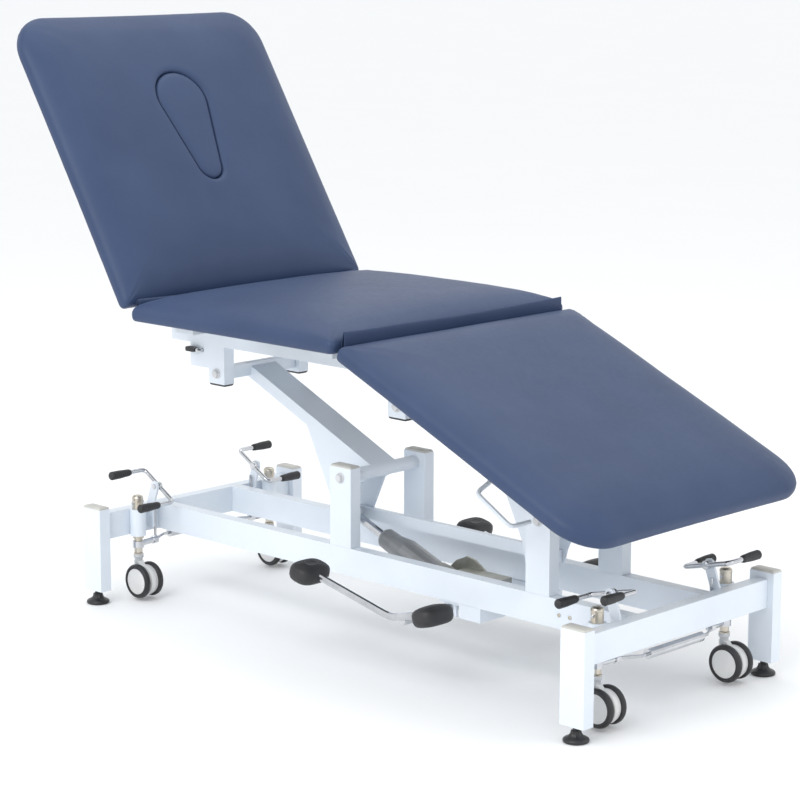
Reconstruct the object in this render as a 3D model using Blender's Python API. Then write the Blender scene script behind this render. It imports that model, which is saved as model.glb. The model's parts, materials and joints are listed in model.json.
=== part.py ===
"""Three-section hydraulic examination couch, modelled in metres with +Z up.

The head end is at -X, the foot end at +X, and the person lying on the couch has
the -Y side on their right.  Lengths along X are written from the middle of the base
frame; main() then moves everything by ORIGIN_SHIFT, which puts the origin on the
floor under the middle of the whole couch.  Every moving piece has its origin on
its own joint axis.
"""

from math import cos, pi, radians, sin

import bmesh
import bpy
from mathutils import Matrix, Vector

ORIGIN_SHIFT = 0.0695

# ---- base frame -------------------------------------------------------------
TUBE_WIDE = 0.056
TUBE_THIN = 0.028
BASE_HALF_LENGTH = 0.6975
BASE_HALF_WIDTH = 0.300
LEG_BOTTOM = 0.030
LEG_TOP = 0.210
RAIL_TOP = 0.197
RAIL_BOTTOM = RAIL_TOP - 0.057
RAIL_OUTER_Y = 0.1232
CROSS_CENTRE_X = 0.6696
POST_TOP = 0.3615
MID_POST_X = -0.0918
FOOT_POST_X = 0.4348
GAP = 0.0003

# ---- lift parallelogram -----------------------------------------------------
PIVOT_HEIGHT = 0.340
ARM_SPACING = FOOT_POST_X - MID_POST_X
ARM_REACH_X = -0.369
ARM_REACH_Z = 0.168
ARM_HALF_WIDTH = 0.0365
ARM_HALF_DEPTH = 0.0125
GUSSET_PLATE = 0.004
PIN_OFFSET_X = -0.083
PIN_OFFSET_Z = -0.108
PIVOT_TUBE_RADIUS = 0.014
LINK_PIN_RADIUS = 0.006
CROSS_MEMBER_HALF_SPAN = 0.0948
TIE_BAR_Y = 0.0255
TIE_BAR_HALF_THICKNESS = 0.006
TIE_BAR_HALF_HEIGHT = 0.012

# ---- hydraulic cylinder and pump --------------------------------------------
CYLINDER_FOOT = Vector((0.085, 0.0, 0.130))
BARREL_RADIUS = 0.030
CYLINDER_ROD_RADIUS = 0.009
PEDAL_SHAFT = Vector((0.200, 0.0, 0.122))
PEDAL_Y = 0.245
PEDAL_ROD_RADIUS = 0.0075

# ---- top frame --------------------------------------------------------------
TOP_RAIL_HEAD = -0.602
TOP_RAIL_FOOT = 0.100
TOP_RAIL_BOTTOM = 0.567
TOP_RAIL_TOP = 0.623
DROP_BRACKET_BOTTOM = 0.486
DROP_BRACKET_WIDTH = 0.048
SECTION_UNDERSIDE = 0.642
SECTION_BAR = 0.0175

LEVER_PIVOT = Vector((-0.505, -0.112, 0.553))

# ---- cushions ---------------------------------------------------------------
CUSHION_HALF_WIDTH = 0.343
CUSHION_THICKNESS = 0.051
SEAT_HEAD_X = -0.480
SEAT_FOOT_X = 0.104
BACK_CORNER = Vector((-0.5123, 0.0, 0.660))
BACK_LENGTH = 0.676
BACK_ANGLE = radians(57.8)
BACK_HINGE = Vector((-0.4965, 0.0, 0.650))
LEG_CORNER = Vector((0.1083, 0.0, 0.6357))
LEG_LENGTH = 0.676
LEG_ANGLE = radians(24.1)
LEG_HINGE = Vector((0.0915, 0.0, 0.6325))
FACE_HOLE_WIDE_U = 0.443
FACE_HOLE_NARROW_U = 0.283
FACE_HOLE_WIDE_RADIUS = 0.068
FACE_HOLE_NARROW_RADIUS = 0.034

# ---- back section gas strut -------------------------------------------------
STRUT_FOOT = Vector((-0.538, 0.0, 0.600))
STRUT_HEAD_U = 0.243
STRUT_HEAD_N = -0.032
STRUT_RADIUS = 0.011

# ---- castors and their pedals -----------------------------------------------
STEM_X = 0.640
STEM_Y = 0.195
STEM_RADIUS = 0.012
STEM_TIP_RADIUS = 0.009
SLEEVE_RADIUS = 0.0170
WHEEL_RADIUS = 0.0375
WHEEL_CLEARANCE = 0.005
WHEEL_TRAIL = 0.018
WHEEL_HALF_TRACK = 0.016
WHEEL_WIDTH = 0.018
ROCKER_X = 0.633
ROCKER_Y = 0.1405
ROCKER_Z = 0.241
ROCKER_HALF_LENGTH = 0.055
ROCKER_ROD_RADIUS = 0.005
ROCKER_PIN_RADIUS = 0.005
GRIP_START = 0.176
GRIP_END = 0.240
GRIP_RADIUS = 0.0105
HEAD_ROCKER_TILT = radians(31.4)
FOOT_ROCKER_TILT = radians(13.8)
ROCKER_PLATE = (
    (0.659, 0.150), (0.659, 0.200), (0.642, 0.2495), (0.635, 0.2525), (0.626, 0.250),
    (0.624, 0.244), (0.624, 0.235), (0.640, 0.190), (0.640, 0.150),
)
LINK_X = 0.645
LINK_HEIGHT = 0.1195
LINK_ROD_Y = 0.1425

WHITE = ("white_paint", (0.80, 0.83, 0.87), 0.35, 0.0)
CHROME = ("chrome", (0.75, 0.76, 0.78), 0.12, 1.0)
ZINC = ("zinc", (0.55, 0.52, 0.46), 0.35, 1.0)
GREY_PAINT = ("cylinder_grey", (0.22, 0.22, 0.22), 0.35, 0.6)
VINYL = ("navy_vinyl", (0.075, 0.105, 0.200), 0.45, 0.0)
BLACK = ("black_rubber", (0.015, 0.015, 0.016), 0.55, 0.0)
TYRE = ("tyre", (0.02, 0.02, 0.022), 0.6, 0.0)
GREY_PLASTIC = ("grey_plastic", (0.55, 0.56, 0.58), 0.45, 0.0)

SIDES = (("right", -1.0), ("left", 1.0))
ENDS = (("head", -1.0), ("foot", 1.0))


# ---- building blocks --------------------------------------------------------
def material(spec):
    """Return the Principled material for a (name, colour, roughness, metallic) spec."""
    name, colour, roughness, metallic = spec
    found = bpy.data.materials.get(name)
    if found:
        return found
    made = bpy.data.materials.new(name)
    made.use_nodes = True
    shader = made.node_tree.nodes["Principled BSDF"]
    shader.inputs["Base Color"].default_value = (*colour, 1.0)
    shader.inputs["Roughness"].default_value = roughness
    shader.inputs["Metallic"].default_value = metallic
    return made


def add_object(name, mesh_builder, spec, origin=(0.0, 0.0, 0.0), smooth=False):
    """Turn a bmesh in world coordinates into an object with the given origin."""
    origin = Vector(origin)
    bmesh.ops.translate(mesh_builder, verts=mesh_builder.verts, vec=-origin)
    bmesh.ops.recalc_face_normals(mesh_builder, faces=mesh_builder.faces)
    mesh = bpy.data.meshes.new(name)
    mesh_builder.to_mesh(mesh)
    mesh_builder.free()
    if smooth:
        mesh.shade_smooth()
        mesh.set_sharp_from_angle(angle=radians(35.0))
    made = bpy.data.objects.new(name, mesh)
    made.location = origin
    made.data.materials.append(material(spec))
    bpy.context.scene.collection.objects.link(made)
    return made


def box_mesh(low, high):
    """A closed box between two corners."""
    shape = bmesh.new()
    bmesh.ops.create_cube(shape, size=1.0)
    for vert in shape.verts:
        for axis in range(3):
            middle = 0.5 * (low[axis] + high[axis])
            vert.co[axis] = middle + vert.co[axis] * (high[axis] - low[axis])
    return shape


def loft_mesh(loops):
    """Skin closed loops of equal length, one after another, and cap both ends."""
    shape = bmesh.new()
    rings = [[shape.verts.new(point) for point in loop] for loop in loops]
    count = len(rings[0])
    for lower, upper in zip(rings, rings[1:]):
        for i in range(count):
            j = (i + 1) % count
            shape.faces.new((lower[i], lower[j], upper[j], upper[i]))
    shape.faces.new(rings[0])
    shape.faces.new(rings[-1])
    return shape


def prism_mesh(outline, y_low, y_high):
    """Extrude an (x, z) outline along Y."""
    return loft_mesh([[(x, y, z) for x, z in outline] for y in (y_low, y_high)])


def circle(centre, radius, across, up, segments):
    """Points of a circle in the plane of two unit vectors."""
    points = []
    for step in range(segments):
        angle = 2.0 * pi * step / segments
        points.append(Vector(centre) + radius * (cos(angle) * across + sin(angle) * up))
    return points


def frame_of(direction):
    """Two unit vectors square to a direction."""
    direction = Vector(direction).normalized()
    helper = Vector((0.0, 1.0, 0.0)) if abs(direction.y) < 0.9 else Vector((1.0, 0.0, 0.0))
    across = direction.cross(helper).normalized()
    return across, direction.cross(across).normalized()


def turned_mesh(start, end, profile, segments=16):
    """Turn (distance from start, radius) pairs about the line from start to end."""
    start = Vector(start)
    direction = (Vector(end) - start).normalized()
    across, up = frame_of(direction)
    loops = [circle(start + direction * along, radius, across, up, segments) for along, radius in profile]
    return loft_mesh(loops)


def cylinder_mesh(start, end, radius, segments=16):
    """A plain round bar from start to end."""
    length = (Vector(end) - Vector(start)).length
    return turned_mesh(start, end, ((0.0, radius), (length, radius)), segments)


def rounded_path(corners, radius, steps=3):
    """Replace each inner corner of a polyline by an arc-like curve."""
    path = [Vector(corners[0])]
    for before, corner, after in zip(corners, corners[1:], corners[2:]):
        corner = Vector(corner)
        start = corner + (Vector(before) - corner).normalized() * radius
        end = corner + (Vector(after) - corner).normalized() * radius
        for step in range(steps + 1):
            t = step / steps
            path.append(start * (1 - t) ** 2 + corner * 2 * t * (1 - t) + end * t * t)
    path.append(Vector(corners[-1]))
    return path


def rod_mesh(path, radius, segments=8):
    """Sweep a circle along a path without twist."""
    directions = [(after - before).normalized() for before, after in zip(path, path[1:])]
    across, up = frame_of(directions[0])
    loops = []
    for i, point in enumerate(path):
        before = directions[max(i - 1, 0)]
        after = directions[min(i, len(directions) - 1)]
        tangent = (before + after).normalized()
        across = (across - tangent * across.dot(tangent)).normalized()
        up = tangent.cross(across)
        loops.append(circle(point, radius, across, up, segments))
    return loft_mesh(loops)


def boolean(target, operation, tool):
    """Keep a Boolean on the target and hide its tool."""
    tool.hide_render = True
    tool.display_type = "WIRE"
    modifier = target.modifiers.new(tool.name, "BOOLEAN")
    modifier.operation = operation
    modifier.solver = "EXACT"
    modifier.object = tool


def weld(target, name, shape, smooth=False):
    """Fuse another shape into the target."""
    spec = target.data.materials[0]
    tool = add_object(f"{target.name}_{name}", shape, (spec.name, (0, 0, 0), 0, 0), smooth=smooth)
    boolean(target, "UNION", tool)


def drill(target, name, start, end, radius, segments=18):
    """Cut a round hole through the target."""
    tool = add_object(f"{target.name}_{name}", cylinder_mesh(start, end, radius, segments), WHITE)
    boolean(target, "DIFFERENCE", tool)


# ---- base frame -------------------------------------------------------------
def build_base_rails():
    end = CROSS_CENTRE_X - TUBE_THIN / 2 - GAP
    for side, sign in SIDES:
        inner, outer = sorted((sign * (RAIL_OUTER_Y - TUBE_THIN), sign * RAIL_OUTER_Y))
        shape = box_mesh((-end, inner, RAIL_BOTTOM), (end, outer, RAIL_TOP))
        add_object(f"base_rail_{side}", shape, WHITE)


def build_cross_tubes():
    for end, x_sign in ENDS:
        centre_x = x_sign * CROSS_CENTRE_X
        low_x, high_x = centre_x - TUBE_THIN / 2, centre_x + TUBE_THIN / 2
        reach = BASE_HALF_WIDTH - TUBE_THIN - GAP
        shape = box_mesh((low_x, -reach, RAIL_BOTTOM), (high_x, reach, RAIL_TOP))
        tube = add_object(f"base_cross_tube_{end}", shape, WHITE)
        for side, y_sign in SIDES:
            stem = Vector((x_sign * STEM_X, y_sign * STEM_Y, 0.0))
            low = stem + Vector((0.0, 0.0, RAIL_BOTTOM - 0.001))
            high = stem + Vector((0.0, 0.0, RAIL_TOP + 0.001))
            weld(tube, f"sleeve_{side}", cylinder_mesh(low, high, SLEEVE_RADIUS, 20))
            ys = sorted((y_sign * 0.1480, y_sign * 0.1535))
            outline = [(x_sign * x, z) for x, z in ROCKER_PLATE]
            weld(tube, f"rocker_plate_{side}", prism_mesh(outline, *ys))
            past = Vector((0.0, 0.0, 0.01))
            drill(tube, f"stem_bore_{side}", low - past, high + past, STEM_RADIUS + 0.0006)
            hole = Vector((x_sign * ROCKER_X, y_sign * 0.1508, ROCKER_Z))
            reach = Vector((0.0, 0.006, 0.0))
            drill(tube, f"rocker_bore_{side}", hole - reach, hole + reach, ROCKER_PIN_RADIUS + 0.0006, 12)


def build_legs_and_feet():
    for end, x_sign in ENDS:
        for side, y_sign in SIDES:
            xs = sorted((x_sign * (BASE_HALF_LENGTH - TUBE_WIDE), x_sign * BASE_HALF_LENGTH))
            ys = sorted((y_sign * (BASE_HALF_WIDTH - TUBE_THIN), y_sign * BASE_HALF_WIDTH))
            leg = box_mesh((xs[0], ys[0], LEG_BOTTOM), (xs[1], ys[1], LEG_TOP))
            add_object(f"base_leg_{end}_{side}", leg, WHITE)
            centre = Vector(((xs[0] + xs[1]) / 2, (ys[0] + ys[1]) / 2, 0.0))
            profile = ((0.0, 0.021), (0.002, 0.0245), (0.007, 0.0245), (0.013, 0.011), (0.0295, 0.006))
            foot = turned_mesh(centre, centre + Vector((0, 0, 1)), profile, 16)
            add_object(f"levelling_foot_{end}_{side}", foot, BLACK, centre, smooth=True)


def build_posts():
    for place, x in (("mid", MID_POST_X), ("foot", FOOT_POST_X)):
        for side, sign in SIDES:
            half = 0.0295
            ys = sorted((sign * (RAIL_OUTER_Y - TUBE_THIN), sign * RAIL_OUTER_Y))
            post = box_mesh((x - half, ys[0], RAIL_TOP + GAP), (x + half, ys[1], POST_TOP))
            add_object(f"pivot_post_{place}_{side}", post, WHITE)


def build_pump_beam():
    top = RAIL_BOTTOM - GAP
    beam = add_object("pump_beam", box_mesh((0.235, -RAIL_OUTER_Y, 0.111), (0.291, RAIL_OUTER_Y, top)), WHITE)
    weld(beam, "foot_plate", box_mesh((0.178, -0.118, 0.1335), (0.240, 0.118, top - 0.001)))
    for side, sign in SIDES:
        ys = sorted((sign * 0.104, sign * 0.110))
        weld(beam, f"bearing_{side}", box_mesh((0.184, ys[0], 0.106), (0.216, ys[1], 0.1345)))
        start = PEDAL_SHAFT + Vector((0, sign * 0.095, 0))
        finish = PEDAL_SHAFT + Vector((0, sign * 0.120, 0))
        drill(beam, f"bearing_bore_{side}", start, finish, 0.0086)


def build_pump_unit():
    body = add_object("hydraulic_pump", box_mesh((0.118, -0.0345, 0.1402), (0.234, 0.0345, 0.163)), ZINC)
    outline = (
        (0.062, 0.112), (0.062, 0.150), (0.085, 0.172), (0.112, 0.184), (0.135, 0.180),
        (0.150, 0.171), (0.180, 0.150), (0.180, 0.1435), (0.125, 0.1405),
    )
    for side, sign in SIDES:
        ys = sorted((sign * 0.0335, sign * 0.0385))
        weld(body, f"cheek_{side}", prism_mesh(outline, ys[0], ys[1]))
    reach = Vector((0.0, 0.036, 0.0))
    weld(body, "pin", cylinder_mesh(CYLINDER_FOOT - reach, CYLINDER_FOOT + reach, 0.006, 16))


# ---- lift mechanism ---------------------------------------------------------
def arm_outline():
    """The arm's box section seen from the side, about its lower pivot."""
    reach = Vector((ARM_REACH_X, ARM_REACH_Z))
    along = reach.normalized()
    square = Vector((-along.y, along.x)) * -ARM_HALF_DEPTH
    end = reach + along * 0.006
    return [tuple(p) for p in (square, end + square, end - square, -square)]


def gusset_outline():
    """One gusset plate from the side, about the lower pivot."""
    return [
        (-0.190, 0.080), (-0.113, -0.075), (-0.104, -0.118), (-0.094, -0.127), (-0.072, -0.127),
        (-0.064, -0.120), (-0.058, -0.095), (-0.026, -0.026), (0.010, -0.006), (0.008, 0.006),
    ]


def build_arm(name, pivot_x):
    pivot = Vector((pivot_x, 0.0, PIVOT_HEIGHT))
    head = pivot + Vector((ARM_REACH_X, 0.0, ARM_REACH_Z))
    box = prism_mesh([(pivot.x + x, pivot.z + z) for x, z in arm_outline()], -ARM_HALF_WIDTH, ARM_HALF_WIDTH)
    arm = add_object(name, box, WHITE, pivot)
    for side, sign in SIDES:
        ys = sorted((sign * (ARM_HALF_WIDTH - GUSSET_PLATE), sign * (ARM_HALF_WIDTH + 0.0002)))
        outline = [(pivot.x + x, pivot.z + z) for x, z in gusset_outline()]
        weld(arm, f"gusset_{side}", prism_mesh(outline, ys[0], ys[1]))
    span = Vector((0.0, CROSS_MEMBER_HALF_SPAN, 0.0))
    weld(arm, "pivot_tube", cylinder_mesh(pivot - span, pivot + span, PIVOT_TUBE_RADIUS, 20))
    half = 0.013
    cross = box_mesh((head.x - half, -span.y, head.z - half), (head.x + half, span.y, head.z + half))
    weld(arm, "cross_tube", cross)
    pin = pivot + Vector((PIN_OFFSET_X, 0.0, PIN_OFFSET_Z))
    reach = Vector((0.0, ARM_HALF_WIDTH - 0.001, 0.0))
    weld(arm, "link_pin", cylinder_mesh(pin - reach, pin + reach, LINK_PIN_RADIUS, 16))


def build_tie_bar():
    pin = Vector((MID_POST_X + PIN_OFFSET_X, TIE_BAR_Y, PIVOT_HEIGHT + PIN_OFFSET_Z))
    far_pin = pin + Vector((ARM_SPACING, 0.0, 0.0))
    low = pin - Vector((0.014, TIE_BAR_HALF_THICKNESS, TIE_BAR_HALF_HEIGHT))
    high = far_pin + Vector((0.014, TIE_BAR_HALF_THICKNESS, TIE_BAR_HALF_HEIGHT))
    bar = add_object("lift_tie_bar", box_mesh(low, high), WHITE, (pin.x, 0.0, pin.z))
    for place, centre in (("front", pin), ("rear", far_pin)):
        reach = Vector((0.0, 0.02, 0.0))
        drill(bar, f"hole_{place}", centre - reach, centre + reach, LINK_PIN_RADIUS + 0.0005)


def build_cylinder():
    pin = Vector((MID_POST_X + PIN_OFFSET_X, 0.0, PIVOT_HEIGHT + PIN_OFFSET_Z))
    axis = (pin - CYLINDER_FOOT).normalized()
    profile = (
        (0.014, 0.014), (0.022, BARREL_RADIUS), (0.118, BARREL_RADIUS),
        (0.150, 0.0225), (0.178, 0.0215), (0.184, 0.0175),
    )
    shell = turned_mesh(CYLINDER_FOOT, pin, profile, 20)
    barrel = add_object("cylinder_barrel", shell, GREY_PAINT, CYLINDER_FOOT, smooth=True)
    reach = Vector((0.0, 0.013, 0.0))
    weld(barrel, "eye", cylinder_mesh(CYLINDER_FOOT - reach, CYLINDER_FOOT + reach, 0.0165, 16))
    reach = Vector((0.0, 0.03, 0.0))
    drill(barrel, "eye_hole", CYLINDER_FOOT - reach, CYLINDER_FOOT + reach, 0.0066)
    bottom, mouth = CYLINDER_FOOT + axis * 0.050, CYLINDER_FOOT + axis * 0.22
    drill(barrel, "bore", bottom, mouth, CYLINDER_ROD_RADIUS + 0.0006)
    length = (pin - CYLINDER_FOOT).length
    rod_profile = ((0.075, CYLINDER_ROD_RADIUS), (length - 0.012, CYLINDER_ROD_RADIUS))
    bar = turned_mesh(CYLINDER_FOOT, pin, rod_profile, 16)
    rod = add_object("cylinder_rod", bar, CHROME, pin, smooth=True)
    reach = Vector((0.0, 0.0085, 0.0))
    weld(rod, "eye", cylinder_mesh(pin - reach, pin + reach, 0.0195, 18))
    reach = Vector((0.0, 0.02, 0.0))
    drill(rod, "eye_hole", pin - reach, pin + reach, 0.0130)


# ---- foot pump pedals -------------------------------------------------------
def pedal_path(sign):
    """The shallow V of one pedal bar, from the long arm's pad to the short arm's."""
    y = sign * PEDAL_Y
    return rounded_path([(-0.035, y, 0.1705), (0.170, y, 0.1235), (0.258, y, 0.1465)], 0.02)


def pad_mesh(centre, angle):
    """A rounded rubber pad, flat below and domed on top."""
    rows = ((-0.020, 0.80), (-0.012, 1.0), (0.006, 1.0), (0.013, 0.86), (0.0175, 0.55))
    loops = []
    for height, scale in rows:
        loop = []
        for step in range(16):
            turn = 2.0 * pi * step / 16
            along = 0.029 * scale * cos(turn)
            across = 0.041 * scale * sin(turn)
            loop.append(Vector((along, across, height)))
        loops.append(loop)
    tilt = Matrix.Translation(Vector(centre)) @ Matrix.Rotation(angle, 4, "Y")
    return loft_mesh([[tilt @ point for point in loop] for loop in loops])


def build_pedals():
    reach = Vector((0.0, PEDAL_Y, 0.0))
    bar = cylinder_mesh(PEDAL_SHAFT - reach, PEDAL_SHAFT + reach, 0.008, 16)
    shaft = add_object("pump_pedal_bars", bar, CHROME, PEDAL_SHAFT)
    for side, sign in SIDES:
        weld(shaft, f"bar_{side}", rod_mesh(pedal_path(sign), PEDAL_ROD_RADIUS, 12))
        inner = PEDAL_SHAFT + Vector((0, sign * (PEDAL_Y - 0.016), 0.002))
        outer = PEDAL_SHAFT + Vector((0, sign * (PEDAL_Y + 0.0030), 0.002))
        weld(shaft, f"hub_{side}", cylinder_mesh(inner, outer, 0.0090, 16))
        for place, centre, angle in (
            ("long", Vector((-0.0560, sign * PEDAL_Y, 0.1765)), radians(13.0)),
            ("short", Vector((0.2780, sign * PEDAL_Y, 0.1515)), radians(-14.0)),
        ):
            name = f"pedal_pad_{place}_{side}"
            pad = add_object(name, pad_mesh(centre, angle), BLACK, PEDAL_SHAFT, smooth=True)
            socket = rod_mesh(pedal_path(sign), PEDAL_ROD_RADIUS + GAP, 12)
            boolean(pad, "DIFFERENCE", add_object(f"{pad.name}_socket", socket, CHROME))


# ---- top frame --------------------------------------------------------------
def build_top_rails():
    head_pivot_x = MID_POST_X + ARM_REACH_X
    for side, sign in SIDES:
        ys = sorted((sign * (RAIL_OUTER_Y - TUBE_THIN), sign * RAIL_OUTER_Y))
        rail = add_object(
            f"top_rail_{side}",
            box_mesh((TOP_RAIL_HEAD, ys[0], TOP_RAIL_BOTTOM), (TOP_RAIL_FOOT, ys[1], TOP_RAIL_TOP)),
            WHITE, (head_pivot_x, 0.0, PIVOT_HEIGHT + ARM_REACH_Z))
        for place, x in (("head", head_pivot_x), ("foot", head_pivot_x + ARM_SPACING)):
            half = DROP_BRACKET_WIDTH / 2
            low, high = (x - half, ys[0], DROP_BRACKET_BOTTOM), (x + half, ys[1], TOP_RAIL_BOTTOM + 0.002)
            drop = box_mesh(low, high)
            weld(rail, f"drop_{place}", drop)
        plate_y = sorted((sign * 0.1180, sign * (RAIL_OUTER_Y - 0.0004)))
        plate = box_mesh((-0.543, plate_y[0], 0.517), (head_pivot_x, plate_y[1], TOP_RAIL_BOTTOM + 0.002))
        weld(rail, "side_plate", plate)
        if side == "right":
            reach = Vector((0.0, 0.02, 0.0))
            bore = Vector((LEVER_PIVOT.x, plate_y[0], LEVER_PIVOT.z))
            drill(rail, "lever_bore", bore - reach * 0.5, bore + reach * 0.5, 0.0046, 16)
        lug_y = sorted((sign * 0.1000, sign * 0.1060))
        lug = [
            (-0.512, 0.612), (-0.512, 0.655), (-0.503, 0.6615),
            (-0.490, 0.6615), (-0.481, 0.655), (-0.481, 0.612),
        ]
        weld(rail, "hinge_lug", prism_mesh(lug, lug_y[0], lug_y[1]))
        leg_lug = [
            (0.0815, 0.612), (0.0815, 0.635), (0.0860, 0.6395),
            (0.0970, 0.6395), (0.0995, 0.636), (0.0995, 0.612),
        ]
        weld(rail, "leg_hinge_lug", prism_mesh(leg_lug, lug_y[0], lug_y[1]))


def build_top_cross_members():
    origin = (MID_POST_X + ARM_REACH_X, 0.0, PIVOT_HEIGHT + ARM_REACH_Z)
    half_span = RAIL_OUTER_Y - TUBE_THIN - GAP
    for end, low_x, high_x in (("head", -0.400, -0.345), ("foot", 0.000, 0.055)):
        bearer = box_mesh((low_x, -0.290, TOP_RAIL_TOP + GAP), (high_x, 0.290, SECTION_UNDERSIDE - GAP))
        made = add_object(f"seat_bearer_{end}", bearer, WHITE, origin)
        low, high = (low_x, -half_span, TOP_RAIL_BOTTOM), (high_x, half_span, TOP_RAIL_TOP + 0.006)
        weld(made, "stub", box_mesh(low, high))


def build_strut_mount():
    origin = (MID_POST_X + ARM_REACH_X, 0.0, PIVOT_HEIGHT + ARM_REACH_Z)
    half_span = RAIL_OUTER_Y - TUBE_THIN - GAP
    bar = box_mesh((-0.556, -half_span, 0.567), (-0.520, half_span, 0.583))
    tube = add_object("strut_cross_tube", bar, WHITE, origin)
    for side, sign in SIDES:
        ys = sorted((sign * 0.0125, sign * 0.0165))
        ear = [
            (-0.551, 0.580), (-0.551, 0.604), (-0.544, 0.610),
            (-0.532, 0.610), (-0.525, 0.604), (-0.525, 0.580),
        ]
        weld(tube, f"ear_{side}", prism_mesh(ear, ys[0], ys[1]))
    reach = Vector((0.0, 0.014, 0.0))
    weld(tube, "pin", cylinder_mesh(STRUT_FOOT - reach, STRUT_FOOT + reach, 0.004, 16))


# ---- sections ---------------------------------------------------------------
def section_point(corner, angle, toward, along, across, normal):
    """A point of a tilted section: along it from its corner, across it and above its underside."""
    forward = Vector((toward * cos(angle), 0.0, sin(angle)))
    up = Vector((-toward * sin(angle), 0.0, cos(angle)))
    return Vector(corner) + forward * along + up * normal + Vector((0.0, across, 0.0))


def back_point(along, across, normal):
    return section_point(BACK_CORNER, BACK_ANGLE, -1.0, along, across, normal)


def leg_point(along, across, normal):
    return section_point(LEG_CORNER, -LEG_ANGLE, 1.0, along, across, normal)


def seat_point(along, across, normal):
    return Vector((SEAT_HEAD_X + along, across, SECTION_UNDERSIDE + normal))


def cushion_loop(length, inset, near_radius, far_radius, place, normal):
    """One level of a cushion: a rectangle with rounded corners, inset all round."""
    half = CUSHION_HALF_WIDTH - inset
    corners = (
        (length - inset, half, far_radius, 0.0),
        (inset, half, near_radius, 0.5 * pi),
        (inset, -half, near_radius, pi),
        (length - inset, -half, far_radius, 1.5 * pi),
    )
    loop = []
    for along, across, radius, start in corners:
        radius = max(radius - inset, 0.004)
        centre_along = along - radius if along > length / 2 else along + radius
        centre_across = across - radius if across > 0 else across + radius
        for step in range(5):
            angle = start + 0.5 * pi * step / 4
            reach, width = radius * cos(angle), radius * sin(angle)
            loop.append(place(centre_along + reach, centre_across + width, normal))
    return loop


def cushion_mesh(length, near_radius, far_radius, place):
    """A padded board: square at the underside, rolled over at the top edge."""
    levels = ((0.0, 0.004), (0.10, 0.0), (0.45, 0.0), (0.70, 0.0045), (0.88, 0.0130), (1.0, 0.0280))
    return loft_mesh([
        cushion_loop(length, inset, near_radius, far_radius, place, GAP + share * (CUSHION_THICKNESS - GAP))
        for share, inset in levels
    ])


def teardrop_loop(shrink, normal):
    """The face hole outline: a wide round end, a narrow round end and two straight sides."""
    wide = FACE_HOLE_WIDE_RADIUS - shrink
    narrow = FACE_HOLE_NARROW_RADIUS - shrink
    lean = (FACE_HOLE_WIDE_RADIUS - FACE_HOLE_NARROW_RADIUS) / (FACE_HOLE_WIDE_U - FACE_HOLE_NARROW_U)
    loop = []
    for centre, radius, start, finish in (
        (FACE_HOLE_WIDE_U, wide, -0.5 * pi - lean, 0.5 * pi + lean),
        (FACE_HOLE_NARROW_U, narrow, 0.5 * pi + lean, 1.5 * pi - lean),
    ):
        for step in range(11):
            angle = start + (finish - start) * step / 10
            loop.append(back_point(centre + radius * cos(angle), radius * sin(angle), normal))
    return loop


def build_cushions():
    add_object("seat_cushion", cushion_mesh(SEAT_FOOT_X - SEAT_HEAD_X, 0.012, 0.012, seat_point), VINYL,
               (MID_POST_X + ARM_REACH_X, 0.0, PIVOT_HEIGHT + ARM_REACH_Z), smooth=True)
    leg = cushion_mesh(LEG_LENGTH, 0.012, 0.085, leg_point)
    add_object("leg_cushion", leg, VINYL, LEG_HINGE, smooth=True)
    pad = cushion_mesh(BACK_LENGTH, 0.012, 0.085, back_point)
    back = add_object("back_cushion", pad, VINYL, BACK_HINGE, smooth=True)
    hole = loft_mesh([teardrop_loop(0.0, -0.02), teardrop_loop(0.0, 0.08)])
    boolean(back, "DIFFERENCE", add_object("back_cushion_face_hole", hole, VINYL))
    plug_levels = ((0.0006, 0.003), (0.006, 0.0012), (0.044, 0.0012), (0.0510, 0.005))
    plug = loft_mesh([teardrop_loop(shrink, normal) for normal, shrink in plug_levels])
    add_object("face_hole_plug", plug, VINYL, BACK_HINGE, smooth=True)


def slab_mesh(place, low, high):
    """A box in a section's own directions: along, across and normal."""
    loops = []
    for across in (low[1], high[1]):
        loops.append([
            place(low[0], across, low[2]), place(high[0], across, low[2]),
            place(high[0], across, high[2]), place(low[0], across, high[2]),
        ])
    return loft_mesh(loops)


def section_prism(place, outline, low_across, high_across):
    """Extrude an (along, normal) outline of a section across it."""
    ends = (low_across, high_across)
    return loft_mesh([[place(along, across, normal) for along, normal in outline] for across in ends])


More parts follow.
